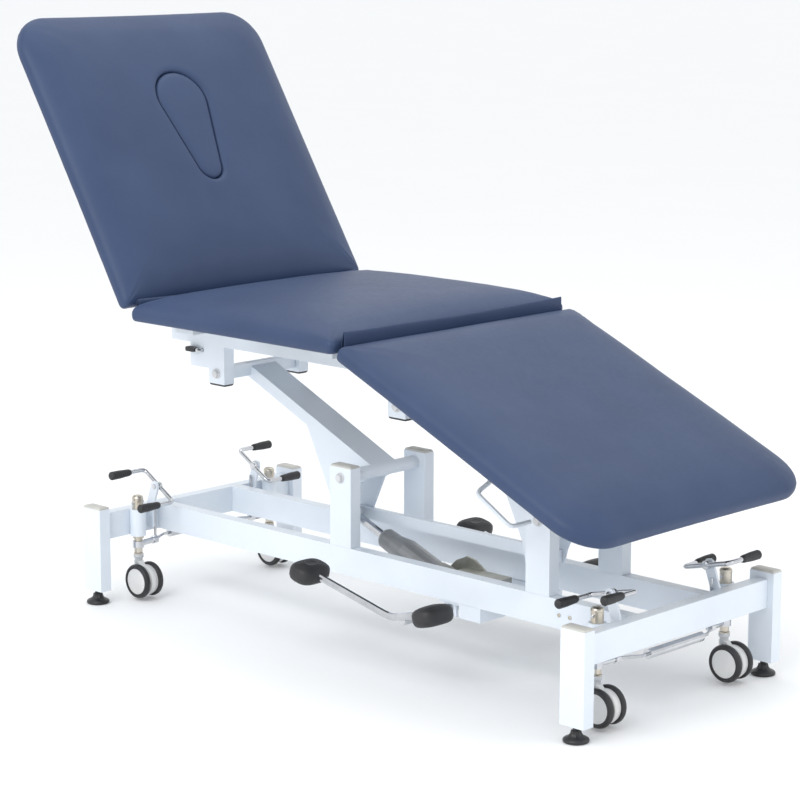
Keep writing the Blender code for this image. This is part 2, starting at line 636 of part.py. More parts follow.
def build_back_frame():
    near_bar = slab_mesh(back_point, (0.200, -0.0880, -0.0172), (0.228, 0.0880, -GAP * 3))
    frame = add_object("back_frame", near_bar, WHITE, BACK_HINGE)
    weld(frame, "far_bar", slab_mesh(back_point, (0.532, -0.0880, -0.0172), (0.560, 0.0880, -GAP * 3)))
    strap = (
        (-0.026, -0.0165), (0.030, -0.0165), (0.030, -0.0030),
        (-0.006, -0.0030), (-0.006, 0.0165), (-0.026, 0.0165),
    )
    ear = ((0.215, -0.0160), (0.215, -0.0040), (0.260, -0.0040), (0.260, -0.0400), (0.232, -0.0400))
    for side, sign in SIDES:
        ys = sorted((sign * 0.0700, sign * 0.0900))
        weld(frame, f"side_{side}", slab_mesh(back_point, (0.012, ys[0], -SECTION_BAR), (0.562, ys[1], -GAP)))
        ys = sorted((sign * 0.0800, sign * 0.0890))
        weld(frame, f"hinge_strap_{side}", section_prism(back_point, strap, *ys))
        ys = sorted((sign * 0.0125, sign * 0.0165))
        weld(frame, f"strut_ear_{side}", section_prism(back_point, ear, *ys))
    head = back_point(STRUT_HEAD_U, 0.0, STRUT_HEAD_N)
    reach = Vector((0.0, 0.014, 0.0))
    weld(frame, "strut_pin", cylinder_mesh(head - reach, head + reach, 0.004, 16))
    reach = Vector((0.0, 0.0996, 0.0))
    weld(frame, "hinge_bar", cylinder_mesh(BACK_HINGE - reach, BACK_HINGE + reach, 0.0065, 16))


def build_leg_frame():
    near_bar = slab_mesh(leg_point, (0.096, -0.0900, -0.0172), (0.124, 0.0900, -GAP * 3))
    frame = add_object("leg_frame", near_bar, WHITE, LEG_HINGE)
    weld(frame, "far_bar", slab_mesh(leg_point, (0.528, -0.0900, -0.0172), (0.556, 0.0900, -GAP * 3)))
    plate = (
        (-0.0205, -0.0060), (-0.0205, -0.0150), (-0.012, -0.0170),
        (0.050, -0.0160), (0.050, -0.004), (-0.004, -0.004),
    )
    for side, sign in SIDES:
        ys = sorted((sign * 0.0750, sign * 0.0943))
        weld(frame, f"side_{side}", slab_mesh(leg_point, (0.012, ys[0], -SECTION_BAR), (0.558, ys[1], -GAP)))
        ys = sorted((sign * 0.0870, sign * 0.0940))
        weld(frame, f"hinge_plate_{side}", section_prism(leg_point, plate, *ys))
    reach = Vector((0.0, 0.0996, 0.0))
    weld(frame, "hinge_bar", cylinder_mesh(LEG_HINGE - reach, LEG_HINGE + reach, 0.0055, 16))
    weld_leg_handle(frame)


def weld_leg_handle(frame):
    """The bent rod handle on the near side of the leg section."""
    y = -0.205
    corners = [
        leg_point(0.271, -0.085, -0.010), leg_point(0.271, -0.125, -0.010),
        Vector((0.352, y + 0.045, 0.412)), Vector((0.352, y, 0.394)), Vector((0.438, y, 0.343)),
        Vector((0.438, y + 0.055, 0.343)),
    ]
    weld(frame, "handle", rod_mesh(rounded_path(corners, 0.012), 0.0047, 8), smooth=True)


def build_gas_strut():
    head = back_point(STRUT_HEAD_U, 0.0, STRUT_HEAD_N)
    axis = (head - STRUT_FOOT).normalized()
    length = (head - STRUT_FOOT).length
    profile = ((0.006, 0.008), (0.016, STRUT_RADIUS), (0.150, STRUT_RADIUS), (0.154, 0.008))
    tube = turned_mesh(STRUT_FOOT, head, profile, 14)
    barrel = add_object("back_strut_barrel", tube, BLACK, STRUT_FOOT, smooth=True)
    reach = Vector((0.0, 0.0075, 0.0))
    weld(barrel, "eye", cylinder_mesh(STRUT_FOOT - reach, STRUT_FOOT + reach, 0.0095, 14))
    drill(barrel, "eye_hole", STRUT_FOOT - reach * 3, STRUT_FOOT + reach * 3, 0.0045)
    drill(barrel, "bore", STRUT_FOOT + axis * 0.030, STRUT_FOOT + axis * 0.17, 0.0045)
    bar = turned_mesh(STRUT_FOOT, head, ((0.100, 0.004), (length - 0.010, 0.004)), 12)
    rod = add_object("back_strut_rod", bar, CHROME, head, smooth=True)
    weld(rod, "eye", cylinder_mesh(head - reach, head + reach, 0.0158, 16))
    drill(rod, "eye_hole", head - reach * 3, head + reach * 3, 0.0125)


def build_release_lever():
    pivot = LEVER_PIVOT
    inner = pivot + Vector((0.0, 0.010, 0.0))
    corner = pivot + Vector((0.0, -0.0205, 0.0))
    path = rounded_path([inner, corner, corner + Vector((-0.014, -0.0005, 0.001))], 0.010)
    lever = add_object("back_release_lever", rod_mesh(path, 0.004, 8), CHROME, pivot, smooth=True)
    grip = box_mesh((-0.541, -0.139, 0.5495), (-0.514, -0.127, 0.5590))
    weld(lever, "grip", grip)


# ---- castors ----------------------------------------------------------------
def build_castor(end, x_sign, side, y_sign):
    stem = Vector((x_sign * STEM_X, y_sign * STEM_Y, 0.0))
    top = stem + Vector((0.0, 0.0, 1.0))
    stem_profile = (
        (0.1015, STEM_TIP_RADIUS), (0.1320, STEM_TIP_RADIUS), (0.1335, STEM_RADIUS),
        (0.2190, STEM_RADIUS), (0.2245, 0.007),
    )
    post = turned_mesh(stem, top, stem_profile, 16)
    add_object(f"castor_stem_{end}_{side}", post, ZINC, stem + Vector((0, 0, 0.2)), smooth=True)
    wheel_z = WHEEL_RADIUS + WHEEL_CLEARANCE
    axle = stem + Vector((WHEEL_TRAIL, 0.0, wheel_z))
    web = 0.0042
    reach = Vector((0.0, web, 0.0))
    disc = cylinder_mesh(axle - reach, axle + reach, 0.031, 18)
    yoke = add_object(f"castor_yoke_{end}_{side}", disc, GREY_PLASTIC, stem, smooth=True)
    weld(yoke, "arm", box_mesh(stem + Vector((-0.013, -web, 0.052)), stem + Vector((0.024, web, 0.090))))
    neck = ((0.084, 0.010), (0.0855, 0.015), (0.0945, 0.015), (0.1010, 0.0115))
    weld(yoke, "neck", turned_mesh(stem, top, neck, 14))
    drill(yoke, "axle_hole", axle - reach * 3, axle + reach * 3, 0.0047, 12)
    build_wheels(end, side, axle)


def build_wheels(end, side, axle):
    inner = WHEEL_HALF_TRACK - WHEEL_WIDTH / 2
    outer = WHEEL_HALF_TRACK + WHEEL_WIDTH / 2
    rise = 0.0035
    profile = (
        (0.0, WHEEL_RADIUS - 0.004), (rise, WHEEL_RADIUS), (WHEEL_WIDTH - rise, WHEEL_RADIUS),
        (WHEEL_WIDTH, 0.027), (WHEEL_WIDTH - 0.0035, 0.024),
    )
    reach = Vector((0.0, inner + 0.004, 0.0))
    bar = cylinder_mesh(axle - reach, axle + reach, 0.0042, 12)
    pair = add_object(f"castor_wheels_{end}_{side}", bar, TYRE, axle, smooth=True)
    for face, sign in SIDES:
        start = axle + Vector((0.0, sign * inner, 0.0))
        weld(pair, f"wheel_{face}", turned_mesh(start, start + Vector((0.0, sign * outer, 0.0)), profile, 20))


def build_castor_link(end, x_sign):
    """The linkage that ties the two stems of one end together below the cross tube."""
    half = 0.082
    centre = Vector((x_sign * 0.669, 0.0, LINK_HEIGHT))
    reach = Vector((0.0, half, 0.0))
    bar = cylinder_mesh(centre - reach, centre + reach, 0.0095, 14)
    tube = add_object(f"castor_link_tube_{end}", bar, CHROME, centre, smooth=True)
    for side, sign in SIDES:
        joint = Vector((x_sign * LINK_X, sign * LINK_ROD_Y, LINK_HEIGHT))
        outward = Vector((0.0, sign, 0.0))
        path = [centre + outward * (half - 0.01), centre + outward * 0.100, joint, joint + outward * 0.004]
        weld(tube, f"rod_{side}", rod_mesh(path, 0.0035, 8))
        collar = Vector((x_sign * STEM_X, sign * STEM_Y, LINK_HEIGHT))
        weld(tube, f"arm_{side}", rod_mesh([joint, collar - outward * 0.008], 0.0065, 10))
        weld(tube, f"nut_{side}", cylinder_mesh(joint - outward * 0.004, joint + outward * 0.008, 0.0092, 6))
        weld(tube, f"push_rod_{side}", rod_mesh([joint, joint + Vector((0.0, 0.0, 0.098))], 0.003, 8))
        rise = Vector((0.0, 0.0, 0.0072))
        weld(tube, f"collar_{side}", cylinder_mesh(collar - rise, collar + rise, 0.0128, 16))
        drill(tube, f"collar_bore_{side}", collar - rise * 2, collar + rise * 2, STEM_TIP_RADIUS + 0.0006)


def build_rocker(end, x_sign, side, y_sign, tilt):
    """A bent bar with a grip at each end, on a pin in the rocker plate."""
    pivot = Vector((x_sign * ROCKER_X, y_sign * ROCKER_Y, ROCKER_Z))
    outward = Vector((x_sign * cos(tilt), 0.0, sin(tilt))) * ROCKER_HALF_LENGTH
    reach = Vector((0.0, y_sign * (GRIP_START + 0.01 - ROCKER_Y), 0.0))
    corners = [pivot + outward + reach, pivot + outward, pivot - outward, pivot - outward + reach]
    bar = rod_mesh(rounded_path(corners, 0.010), ROCKER_ROD_RADIUS, 8)
    rocker = add_object(f"castor_pedal_{end}_{side}", bar, CHROME, pivot, smooth=True)
    inner = pivot - Vector((0.0, y_sign * 0.0050, 0.0))
    weld(rocker, "hub", cylinder_mesh(inner, pivot + Vector((0.0, y_sign * 0.0072, 0.0)), 0.0085, 12))
    pin_end = pivot + Vector((0.0, y_sign * 0.0160, 0.0))
    weld(rocker, "pin", cylinder_mesh(pivot, pin_end, ROCKER_PIN_RADIUS, 12))
    for place, middle in (("outer", pivot + outward), ("inner", pivot - outward)):
        start = Vector((middle.x, y_sign * GRIP_START, middle.z))
        finish = Vector((middle.x, y_sign * GRIP_END, middle.z))
        span = GRIP_END - GRIP_START
        profile = (
            (0.0, 0.0070), (0.003, 0.0085), (span * 0.5, GRIP_RADIUS),
            (span - 0.006, GRIP_RADIUS), (span, 0.006),
        )
        weld(rocker, f"grip_{place}", turned_mesh(start, finish, profile, 12))


def build_castors():
    for end, x_sign in ENDS:
        tilt = HEAD_ROCKER_TILT if end == "head" else FOOT_ROCKER_TILT
        build_castor_link(end, x_sign)
        for side, y_sign in SIDES:
            build_castor(end, x_sign, side, y_sign)
            build_rocker(end, x_sign, side, y_sign, tilt)


def main():
    for old in list(bpy.data.objects):
        bpy.data.objects.remove(old, do_unlink=True)
    build_base_rails()
    build_cross_tubes()
    build_legs_and_feet()
    build_posts()
    build_pump_beam()
    build_pump_unit()
    build_arm("lift_arm_front", MID_POST_X)
    build_arm("lift_arm_rear", FOOT_POST_X)
    build_tie_bar()
    build_cylinder()
    build_pedals()
    build_top_rails()
    build_top_cross_members()
    build_strut_mount()
    build_cushions()
    build_back_frame()
    build_leg_frame()
    build_gas_strut()
    build_release_lever()
    build_castors()
    for made in bpy.data.objects:
        made.location.x += ORIGIN_SHIFT


main()
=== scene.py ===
"""Materials, upholstery, fittings, light and camera for the hydraulic examination couch."""

import json
from math import atan2, cos, hypot, pi, radians, sin, sqrt

import bpy
from mathutils import Matrix, Vector, noise


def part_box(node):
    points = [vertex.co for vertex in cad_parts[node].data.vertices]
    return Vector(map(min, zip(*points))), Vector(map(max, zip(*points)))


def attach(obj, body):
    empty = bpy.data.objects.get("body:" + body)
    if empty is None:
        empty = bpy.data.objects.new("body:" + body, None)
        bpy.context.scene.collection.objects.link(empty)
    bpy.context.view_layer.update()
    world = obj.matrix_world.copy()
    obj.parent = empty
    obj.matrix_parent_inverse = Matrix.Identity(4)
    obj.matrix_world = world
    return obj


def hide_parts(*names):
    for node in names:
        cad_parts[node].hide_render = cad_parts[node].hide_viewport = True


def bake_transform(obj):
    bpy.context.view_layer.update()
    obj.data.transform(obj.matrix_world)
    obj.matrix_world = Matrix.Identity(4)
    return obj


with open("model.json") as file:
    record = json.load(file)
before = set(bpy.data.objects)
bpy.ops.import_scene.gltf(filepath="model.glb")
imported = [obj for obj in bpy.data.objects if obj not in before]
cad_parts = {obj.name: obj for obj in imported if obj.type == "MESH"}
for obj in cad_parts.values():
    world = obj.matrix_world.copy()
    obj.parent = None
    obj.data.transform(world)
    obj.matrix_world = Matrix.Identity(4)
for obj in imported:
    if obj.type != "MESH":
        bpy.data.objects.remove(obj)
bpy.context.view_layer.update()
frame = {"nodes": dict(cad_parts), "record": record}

# The couch's own origin is this far along X from the middle of its base frame.
SHIFT = 0.0695

# Cushions: corner of the underside, slope and length of each section.
HALF_WIDTH = 0.343
CROWN = 0.0205
TOP_BASE = 0.0462
SEAT_START = Vector((-0.480 + SHIFT, 0.0, 0.642))
SEAT_LENGTH = 0.584
BACK_START = Vector((-0.5123 + SHIFT, 0.0, 0.660))
BACK_LENGTH = 0.676
BACK_SLOPE = radians(57.8)
LEG_START = Vector((0.1083 + SHIFT, 0.0, 0.6357))
LEG_LENGTH = 0.676
LEG_SLOPE = radians(-24.1)
HOLE_WIDE = (0.443, 0.068)
HOLE_NARROW = (0.283, 0.034)

# Two small screws near the foot end of each long base rail.
RAIL_SCREW_X = (0.4900, 0.5165)
RAIL_SCREW_Z = 0.167

SIDES = (("right", -1.0), ("left", 1.0))
ENDS = (("head", -1.0), ("foot", 1.0))


# ---- shader building --------------------------------------------------------
class Shader:
    """A small helper that adds nodes to one material."""

    def __init__(self, name, colour, roughness, metallic=0.0, **sockets):
        self.material = bpy.data.materials.new(name)
        self.material.use_nodes = True
        self.tree = self.material.node_tree
        self.bsdf = self.tree.nodes["Principled BSDF"]
        self.bsdf.inputs["Base Color"].default_value = (*colour, 1.0)
        self.bsdf.inputs["Roughness"].default_value = roughness
        self.bsdf.inputs["Metallic"].default_value = metallic
        for socket, value in sockets.items():
            self.bsdf.inputs[socket.replace("_", " ")].default_value = value
        self.coords = self.tree.nodes.new("ShaderNodeTexCoord").outputs["Object"]
        self.normal = None

    def node(self, kind, **settings):
        made = self.tree.nodes.new(kind)
        for key, value in settings.items():
            setattr(made, key, value)
        return made

    def link(self, source, target):
        self.tree.links.new(source, target)

    def stretched(self, scale):
        mapping = self.node("ShaderNodeMapping")
        mapping.inputs["Scale"].default_value = scale
        self.link(self.coords, mapping.inputs["Vector"])
        return mapping.outputs["Vector"]

    def noise(self, scale, detail=4.0, rough=0.55, stretch=None):
        made = self.node("ShaderNodeTexNoise")
        made.inputs["Scale"].default_value = scale
        made.inputs["Detail"].default_value = detail
        made.inputs["Roughness"].default_value = rough
        self.link(self.stretched(stretch) if stretch else self.coords, made.inputs["Vector"])
        return made.outputs["Fac"]

    def cells(self, scale, feature="F1", stretch=None):
        made = self.node("ShaderNodeTexVoronoi", feature=feature)
        made.inputs["Scale"].default_value = scale
        self.link(self.stretched(stretch) if stretch else self.coords, made.inputs["Vector"])
        return made.outputs["Distance"]

    def span(self, source, low, high, from_low=0.0, from_high=1.0):
        made = self.node("ShaderNodeMapRange")
        made.inputs["From Min"].default_value = from_low
        made.inputs["From Max"].default_value = from_high
        made.inputs["To Min"].default_value = low
        made.inputs["To Max"].default_value = high
        self.link(source, made.inputs["Value"])
        return made.outputs["Result"]

    def mix(self, factor, first, second):
        made = self.node("ShaderNodeMix", data_type="RGBA")
        self.link(factor, made.inputs["Factor"])
        for socket, value in ((made.inputs[6], first), (made.inputs[7], second)):
            if isinstance(value, tuple):
                socket.default_value = (*value, 1.0)
            else:
                self.link(value, socket)
        return made.outputs[2]

    def colour(self, source):
        self.link(source, self.bsdf.inputs["Base Color"])

    def roughness(self, source):
        self.link(source, self.bsdf.inputs["Roughness"])

    def bump(self, height, strength, distance):
        made = self.node("ShaderNodeBump")
        made.inputs["Strength"].default_value = strength
        made.inputs["Distance"].default_value = distance
        self.link(height, made.inputs["Height"])
        if self.normal is not None:
            self.link(self.normal, made.inputs["Normal"])
        self.normal = made.outputs["Normal"]
        self.link(self.normal, self.bsdf.inputs["Normal"])

    def edges(self, low=0.515, high=0.60):
        """1 on worn convex edges, 0 elsewhere."""
        geometry = self.node("ShaderNodeNewGeometry")
        return self.span(geometry.outputs["Pointiness"], 0.0, 1.0, low, high)


def paint_material(name="white_enamel", colour=(0.765, 0.825, 0.895), shade=(0.725, 0.785, 0.860)):
    """Stove enamel: slight mottling, orange peel and a thin coat."""
    shader = Shader(name, colour, 0.32, Coat_Weight=0.25, Coat_Roughness=0.12)
    broad = shader.span(shader.noise(7.0, 3.0), 0.0, 1.0, 0.35, 0.70)
    shader.colour(shader.mix(broad, colour, shade))
    shader.roughness(shader.span(shader.noise(55.0, 3.0), 0.26, 0.40))
    shader.bump(shader.noise(620.0, 2.0), 0.08, 0.0004)
    return shader.material


def vinyl_material(name="navy_vinyl", colour=(0.034, 0.056, 0.122), light=(0.043, 0.070, 0.146)):
    """Upholstery vinyl: a fine pebbled grain with soft tonal drift."""
    shader = Shader(name, colour, 0.46, Specular_IOR_Level=0.28)
    drift = shader.span(shader.noise(5.5, 4.0), 0.0, 1.0, 0.30, 0.72)
    base = shader.mix(drift, colour, light)
    pebbles = shader.cells(760.0, "SMOOTH_F1")
    dark = tuple(0.86 * value for value in colour)
    shader.colour(shader.mix(shader.span(pebbles, 0.0, 0.35, 0.35, 0.85), base, dark))
    fine = shader.span(shader.noise(90.0, 3.0), 0.41, 0.53)
    shader.roughness(fine)
    shader.bump(pebbles, 0.22, 0.0004)
    shader.bump(shader.noise(310.0, 5.0), 0.12, 0.0005)
    shader.bump(shader.noise(16.0, 2.0), 0.10, 0.0020)
    return shader.material


def chrome_material():
    shader = Shader("bright_chrome", (0.62, 0.63, 0.65), 0.10, 1.0)
    cloud = shader.span(shader.noise(34.0, 4.0), 0.0, 1.0, 0.35, 0.75)
    shader.colour(shader.mix(cloud, (0.64, 0.65, 0.67), (0.52, 0.53, 0.56)))
    shader.roughness(shader.span(shader.noise(140.0, 5.0, stretch=(1.0, 1.0, 6.0)), 0.06, 0.20))
    shader.bump(shader.noise(900.0, 2.0), 0.04, 0.0002)
    return shader.material


def zinc_material():
    """Yellowish zinc plate with cloudy tone."""
    shader = Shader("zinc_plate", (0.60, 0.55, 0.46), 0.30, 1.0)
    cloud = shader.span(shader.noise(60.0, 5.0), 0.0, 1.0, 0.3, 0.75)
    shader.colour(shader.mix(cloud, (0.66, 0.62, 0.55), (0.50, 0.44, 0.35)))
    shader.roughness(shader.span(shader.noise(210.0, 4.0), 0.20, 0.42))
    shader.bump(shader.noise(700.0, 3.0), 0.08, 0.0003)
    return shader.material


def steel_material():
    """Plain pressed steel plate of the pump."""
    shader = Shader("pump_steel", (0.42, 0.42, 0.38), 0.42, 0.75)
    cloud = shader.span(shader.noise(40.0, 5.0), 0.0, 1.0, 0.3, 0.75)
    shader.colour(shader.mix(cloud, (0.46, 0.46, 0.42), (0.33, 0.33, 0.29)))
    shader.roughness(shader.span(shader.noise(190.0, 4.0, stretch=(1.0, 1.0, 5.0)), 0.34, 0.55))
    shader.bump(shader.noise(420.0, 4.0), 0.10, 0.0003)
    return shader.material


def cylinder_material():
    """Dark silver-grey gloss paint of the jack."""
    shader = Shader("jack_grey", (0.27, 0.275, 0.28), 0.33, 0.35, Coat_Weight=0.3, Coat_Roughness=0.2)
    cloud = shader.span(shader.noise(28.0, 4.0), 0.0, 1.0, 0.3, 0.75)
    shader.colour(shader.mix(cloud, (0.29, 0.295, 0.30), (0.235, 0.24, 0.245)))
    shader.roughness(shader.span(shader.noise(120.0, 4.0), 0.28, 0.42))
    shader.bump(shader.noise(800.0, 2.0), 0.10, 0.0003)
    return shader.material


def moulded_material(name, colour, shade, roughness, grain=520.0):
    """Moulded plastic or rubber: fine spark grain and tone drift."""
    shader = Shader(name, colour, roughness)
    cloud = shader.span(shader.noise(26.0, 4.0), 0.0, 1.0, 0.3, 0.75)
    shader.colour(shader.mix(cloud, colour, shade))
    shader.roughness(shader.span(shader.noise(170.0, 3.0), roughness - 0.07, roughness + 0.09))
    shader.bump(shader.noise(grain, 4.0), 0.16, 0.0004)
    return shader.material


def board_material():
    """The stapled black dust cloth on the underside of a cushion board."""
    shader = Shader("dust_cloth", (0.030, 0.031, 0.034), 0.85)
    weave = shader.cells(900.0, "F1", stretch=(1.0, 1.0, 1.0))
    threads = shader.span(weave, 0.0, 1.0, 0.1, 0.7)
    shader.colour(shader.mix(threads, (0.034, 0.035, 0.038), (0.018, 0.018, 0.020)))
    shader.roughness(shader.span(shader.noise(60.0, 3.0), 0.78, 0.92))
    shader.bump(weave, 0.3, 0.0004)
    return shader.material


def floor_material():
    shader = Shader("studio_floor", (0.965, 0.967, 0.970), 0.80)
    cloud = shader.span(shader.noise(1.2, 2.0), 0.0, 1.0, 0.3, 0.7)
    shader.colour(shader.mix(cloud, (0.965, 0.967, 0.970), (0.955, 0.958, 0.962)))
    return shader.material


WHITE = paint_material()
VINYL = vinyl_material()
CHROME = chrome_material()
ZINC = zinc_material()
PUMP = steel_material()
JACK = cylinder_material()
RUBBER = moulded_material("black_rubber", (0.020, 0.020, 0.022), (0.030, 0.030, 0.032), 0.50)
FOOT_BLACK = moulded_material("black_nylon", (0.014, 0.014, 0.015), (0.022, 0.022, 0.024), 0.34)
TREAD = moulded_material("castor_tread", (0.016, 0.016, 0.018), (0.025, 0.025, 0.027), 0.40)
HUB = moulded_material("castor_hub", (0.72, 0.72, 0.71), (0.64, 0.64, 0.64), 0.36)
NYLON = moulded_material("castor_nylon", (0.56, 0.58, 0.60), (0.48, 0.50, 0.53), 0.40)
CAP = moulded_material("cap_plastic", (0.60, 0.59, 0.55), (0.53, 0.52, 0.49), 0.45)
BOLT = moulded_material("bolt_cover", (0.66, 0.67, 0.68), (0.58, 0.59, 0.60), 0.40)
DUST = board_material()
FLOOR = floor_material()


# ---- mesh building ----------------------------------------------------------
def mesh_object(name, points, faces, material, body=None, smooth=True, angle=38.0):
    """A mesh piece in row coordinates, riding on a body."""
    mesh = bpy.data.meshes.new(name)
    mesh.from_pydata([tuple(point) for point in points], [], faces)
    mesh.validate()
    mesh.update()
    if smooth:
        mesh.shade_smooth()
        mesh.set_sharp_from_angle(angle=radians(angle))
    made = bpy.data.objects.new(name, mesh)
    made.data.materials.append(material)
    bpy.context.scene.collection.objects.link(made)
    if body:
        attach(made, body)
    return made


def loops_to_mesh(loops, cap_start=True, cap_end=True):
    """Points and faces of a skin over equal closed loops, with fan-free end caps."""
    count = len(loops[0])
    points = [point for loop in loops for point in loop]
    faces = []
    for row in range(len(loops) - 1):
        for i in range(count):
            j = (i + 1) % count
            faces.append((row * count + i, row * count + j, (row + 1) * count + j, (row + 1) * count + i))
    if cap_start:
        faces.append(tuple(reversed(range(count))))
    if cap_end:
        last = (len(loops) - 1) * count
        faces.append(tuple(range(last, last + count)))
    return points, faces


def square_to(direction):
    """Two unit vectors square to a direction, so that across x up = direction."""
    direction = Vector(direction).normalized()
    helper = Vector((0.0, 0.0, 1.0)) if abs(direction.z) < 0.9 else Vector((1.0, 0.0, 0.0))
    across = helper.cross(direction).normalized()
    return across, direction.cross(across).normalized()


def lathe(name, start, direction, profile, material, body, segments=48, ripple=None, angle=38.0):
    """Turn (along, radius) pairs about an axis; ripple(along, angle) can change the radius."""
    start = Vector(start)
    direction = Vector(direction).normalized()
    across, up = square_to(direction)
    loops = []
    for along, radius in profile:
        loop = []
        for step in range(segments):
            turn = 2.0 * pi * step / segments
            reach = radius + (ripple(along, turn) if ripple else 0.0)
            loop.append(start + direction * along + reach * (cos(turn) * across + sin(turn) * up))
        loops.append(loop)
    points, faces = loops_to_mesh(loops)
    return mesh_object(name, points, faces, material, body, angle=angle)


def rounded_square(half_a, half_b, radius, steps=5):
    """(a, b) points of a rounded rectangle, counter-clockwise."""
    radius = min(radius, half_a * 0.98, half_b * 0.98)
    points = []
    for sign_a, sign_b, start in ((1, 1, 0.0), (-1, 1, 0.5 * pi), (-1, -1, pi), (1, -1, 1.5 * pi)):
        for step in range(steps + 1):
            turn = start + 0.5 * pi * step / steps
            points.append((sign_a * (half_a - radius) + radius * cos(turn),
                           sign_b * (half_b - radius) + radius * sin(turn)))
    return points


def tube_cap(name, centre, half_x, half_y, body, flip=False, material=None):
    """A domed plug on the end of a rectangular tube: (inset, height) rows from its seat to its crown."""
    rows = ((0.0004, 0.0000), (0.0002, 0.0008), (0.0004, 0.0022), (0.0014, 0.0036), (0.0034, 0.0047),
            (0.0065, 0.0054), (0.0100, 0.0058))
    sign = -1.0 if flip else 1.0
    loops = []
    for inset, height in rows:
        outline = rounded_square(half_x - inset, half_y - inset, max(0.0030 - inset * 0.2, 0.001))
        loop = [Vector((centre[0] + x, centre[1] + y, centre[2] + sign * height)) for x, y in outline]
        loops.append(loop if sign > 0 else list(reversed(loop)))
    points, faces = loops_to_mesh(loops)
    return mesh_object(name, points, faces, material or CAP, body)


def bolt_head(name, centre, outward, radius, height, body, material=None, sides=6):
    """A washer with a chamfered hexagon head and a domed crown."""
    outward = Vector(outward).normalized()
    across, up = square_to(outward)
    centre = Vector(centre)
    steps = sides * 4
    loops = []
    # (along, share of the radius, 1 for a hexagon and 0 for a circle)
    rows = (
        (0.0, 1.28, 0.0), (0.0012, 1.30, 0.0), (0.0018, 1.22, 0.0), (0.0019, 1.0, 1.0),
        (height * 0.72, 1.0, 1.0), (height * 0.92, 0.90, 0.6), (height, 0.66, 0.0),
        (height * 1.05, 0.30, 0.0),
    )
    for along, scale, squareness in rows:
        loop = []
        for step in range(steps):
            turn = 2.0 * pi * step / steps
            local = (turn % (2.0 * pi / sides)) - pi / sides
            flat = cos(pi / sides) / cos(local)
            reach = radius * scale * (flat * squareness + (1.0 - squareness))
            loop.append(centre + outward * along + reach * (cos(turn) * across + sin(turn) * up))
        loops.append(loop)
    points, faces = loops_to_mesh(loops)
    return mesh_object(name, points, faces, material or BOLT, body, angle=30.0)


# ---- carried-over CAD pieces ------------------------------------------------
SLOT_MATERIALS = {
    "white_paint": WHITE, "navy_vinyl": VINYL, "bright_chrome": CHROME, "zinc_plate": ZINC,
    "dark_paint": JACK, "black_plastic": FOOT_BLACK, "black_rubber": RUBBER,
    "grey_plastic": NYLON, "tyre_rubber": TREAD,
}
SOFT_EDGES = {"white_paint": 0.0022, "zinc_plate": 0.0006, "grey_plastic": 0.0010, "bright_chrome": 0.0}


def finish_cad_nodes():
    """Give each CAD node its finish, smooth round faces and softly rounded tube edges."""
    for entry in frame["record"]["subparts"]:
        node = frame["nodes"][entry["node"]]
        kind = entry["material_slot"]
        node.data.materials.clear()
        node.data.materials.append(SLOT_MATERIALS[kind])
        node.data.shade_smooth()
        node.data.set_sharp_from_angle(angle=radians(32.0))
        width = SOFT_EDGES.get(kind, 0.0)
        if width:
            flat = node.modifiers.new("flat", "DECIMATE")
            flat.decimate_type = "DISSOLVE"
            flat.angle_limit = radians(0.8)
            edge = node.modifiers.new("edge", "BEVEL")
            edge.width = width
            edge.segments = 3
            edge.limit_method = "ANGLE"
            edge.angle_limit = radians(40.0)
            edge.use_clamp_overlap = True
            edge.harden_normals = False
            node.modifiers.new("weighted", "WEIGHTED_NORMAL").keep_sharp = False
    frame["nodes"]["hydraulic_pump"].data.materials[0] = PUMP
    frame["nodes"]["back_strut_barrel"].data.materials[0] = FOOT_BLACK


finish_cad_nodes()


# ---- upholstery -------------------------------------------------------------
CORNER_STEPS = 14
SIDE_STEPS = 46
NEAR_CORNER = 0.012
FAR_CORNER = 0.085
TOP_INSET = 0.066


def section_place(corner, slope, toward):
    """A function from (along, across, normal) of a tilted section to a point."""
    forward = Vector((toward * cos(slope), 0.0, toward * sin(slope) if toward > 0 else sin(slope)))
    up = Vector((-sin(slope), 0.0, cos(slope))) if toward > 0 else Vector((sin(slope), 0.0, cos(slope)))

    def place(along, across, normal):
        return corner + forward * along + up * normal + Vector((0.0, across, 0.0))
    return place


seat_place = section_place(SEAT_START, 0.0, 1.0)
back_place = section_place(BACK_START, BACK_SLOPE, -1.0)
leg_place = section_place(LEG_START, LEG_SLOPE, 1.0)


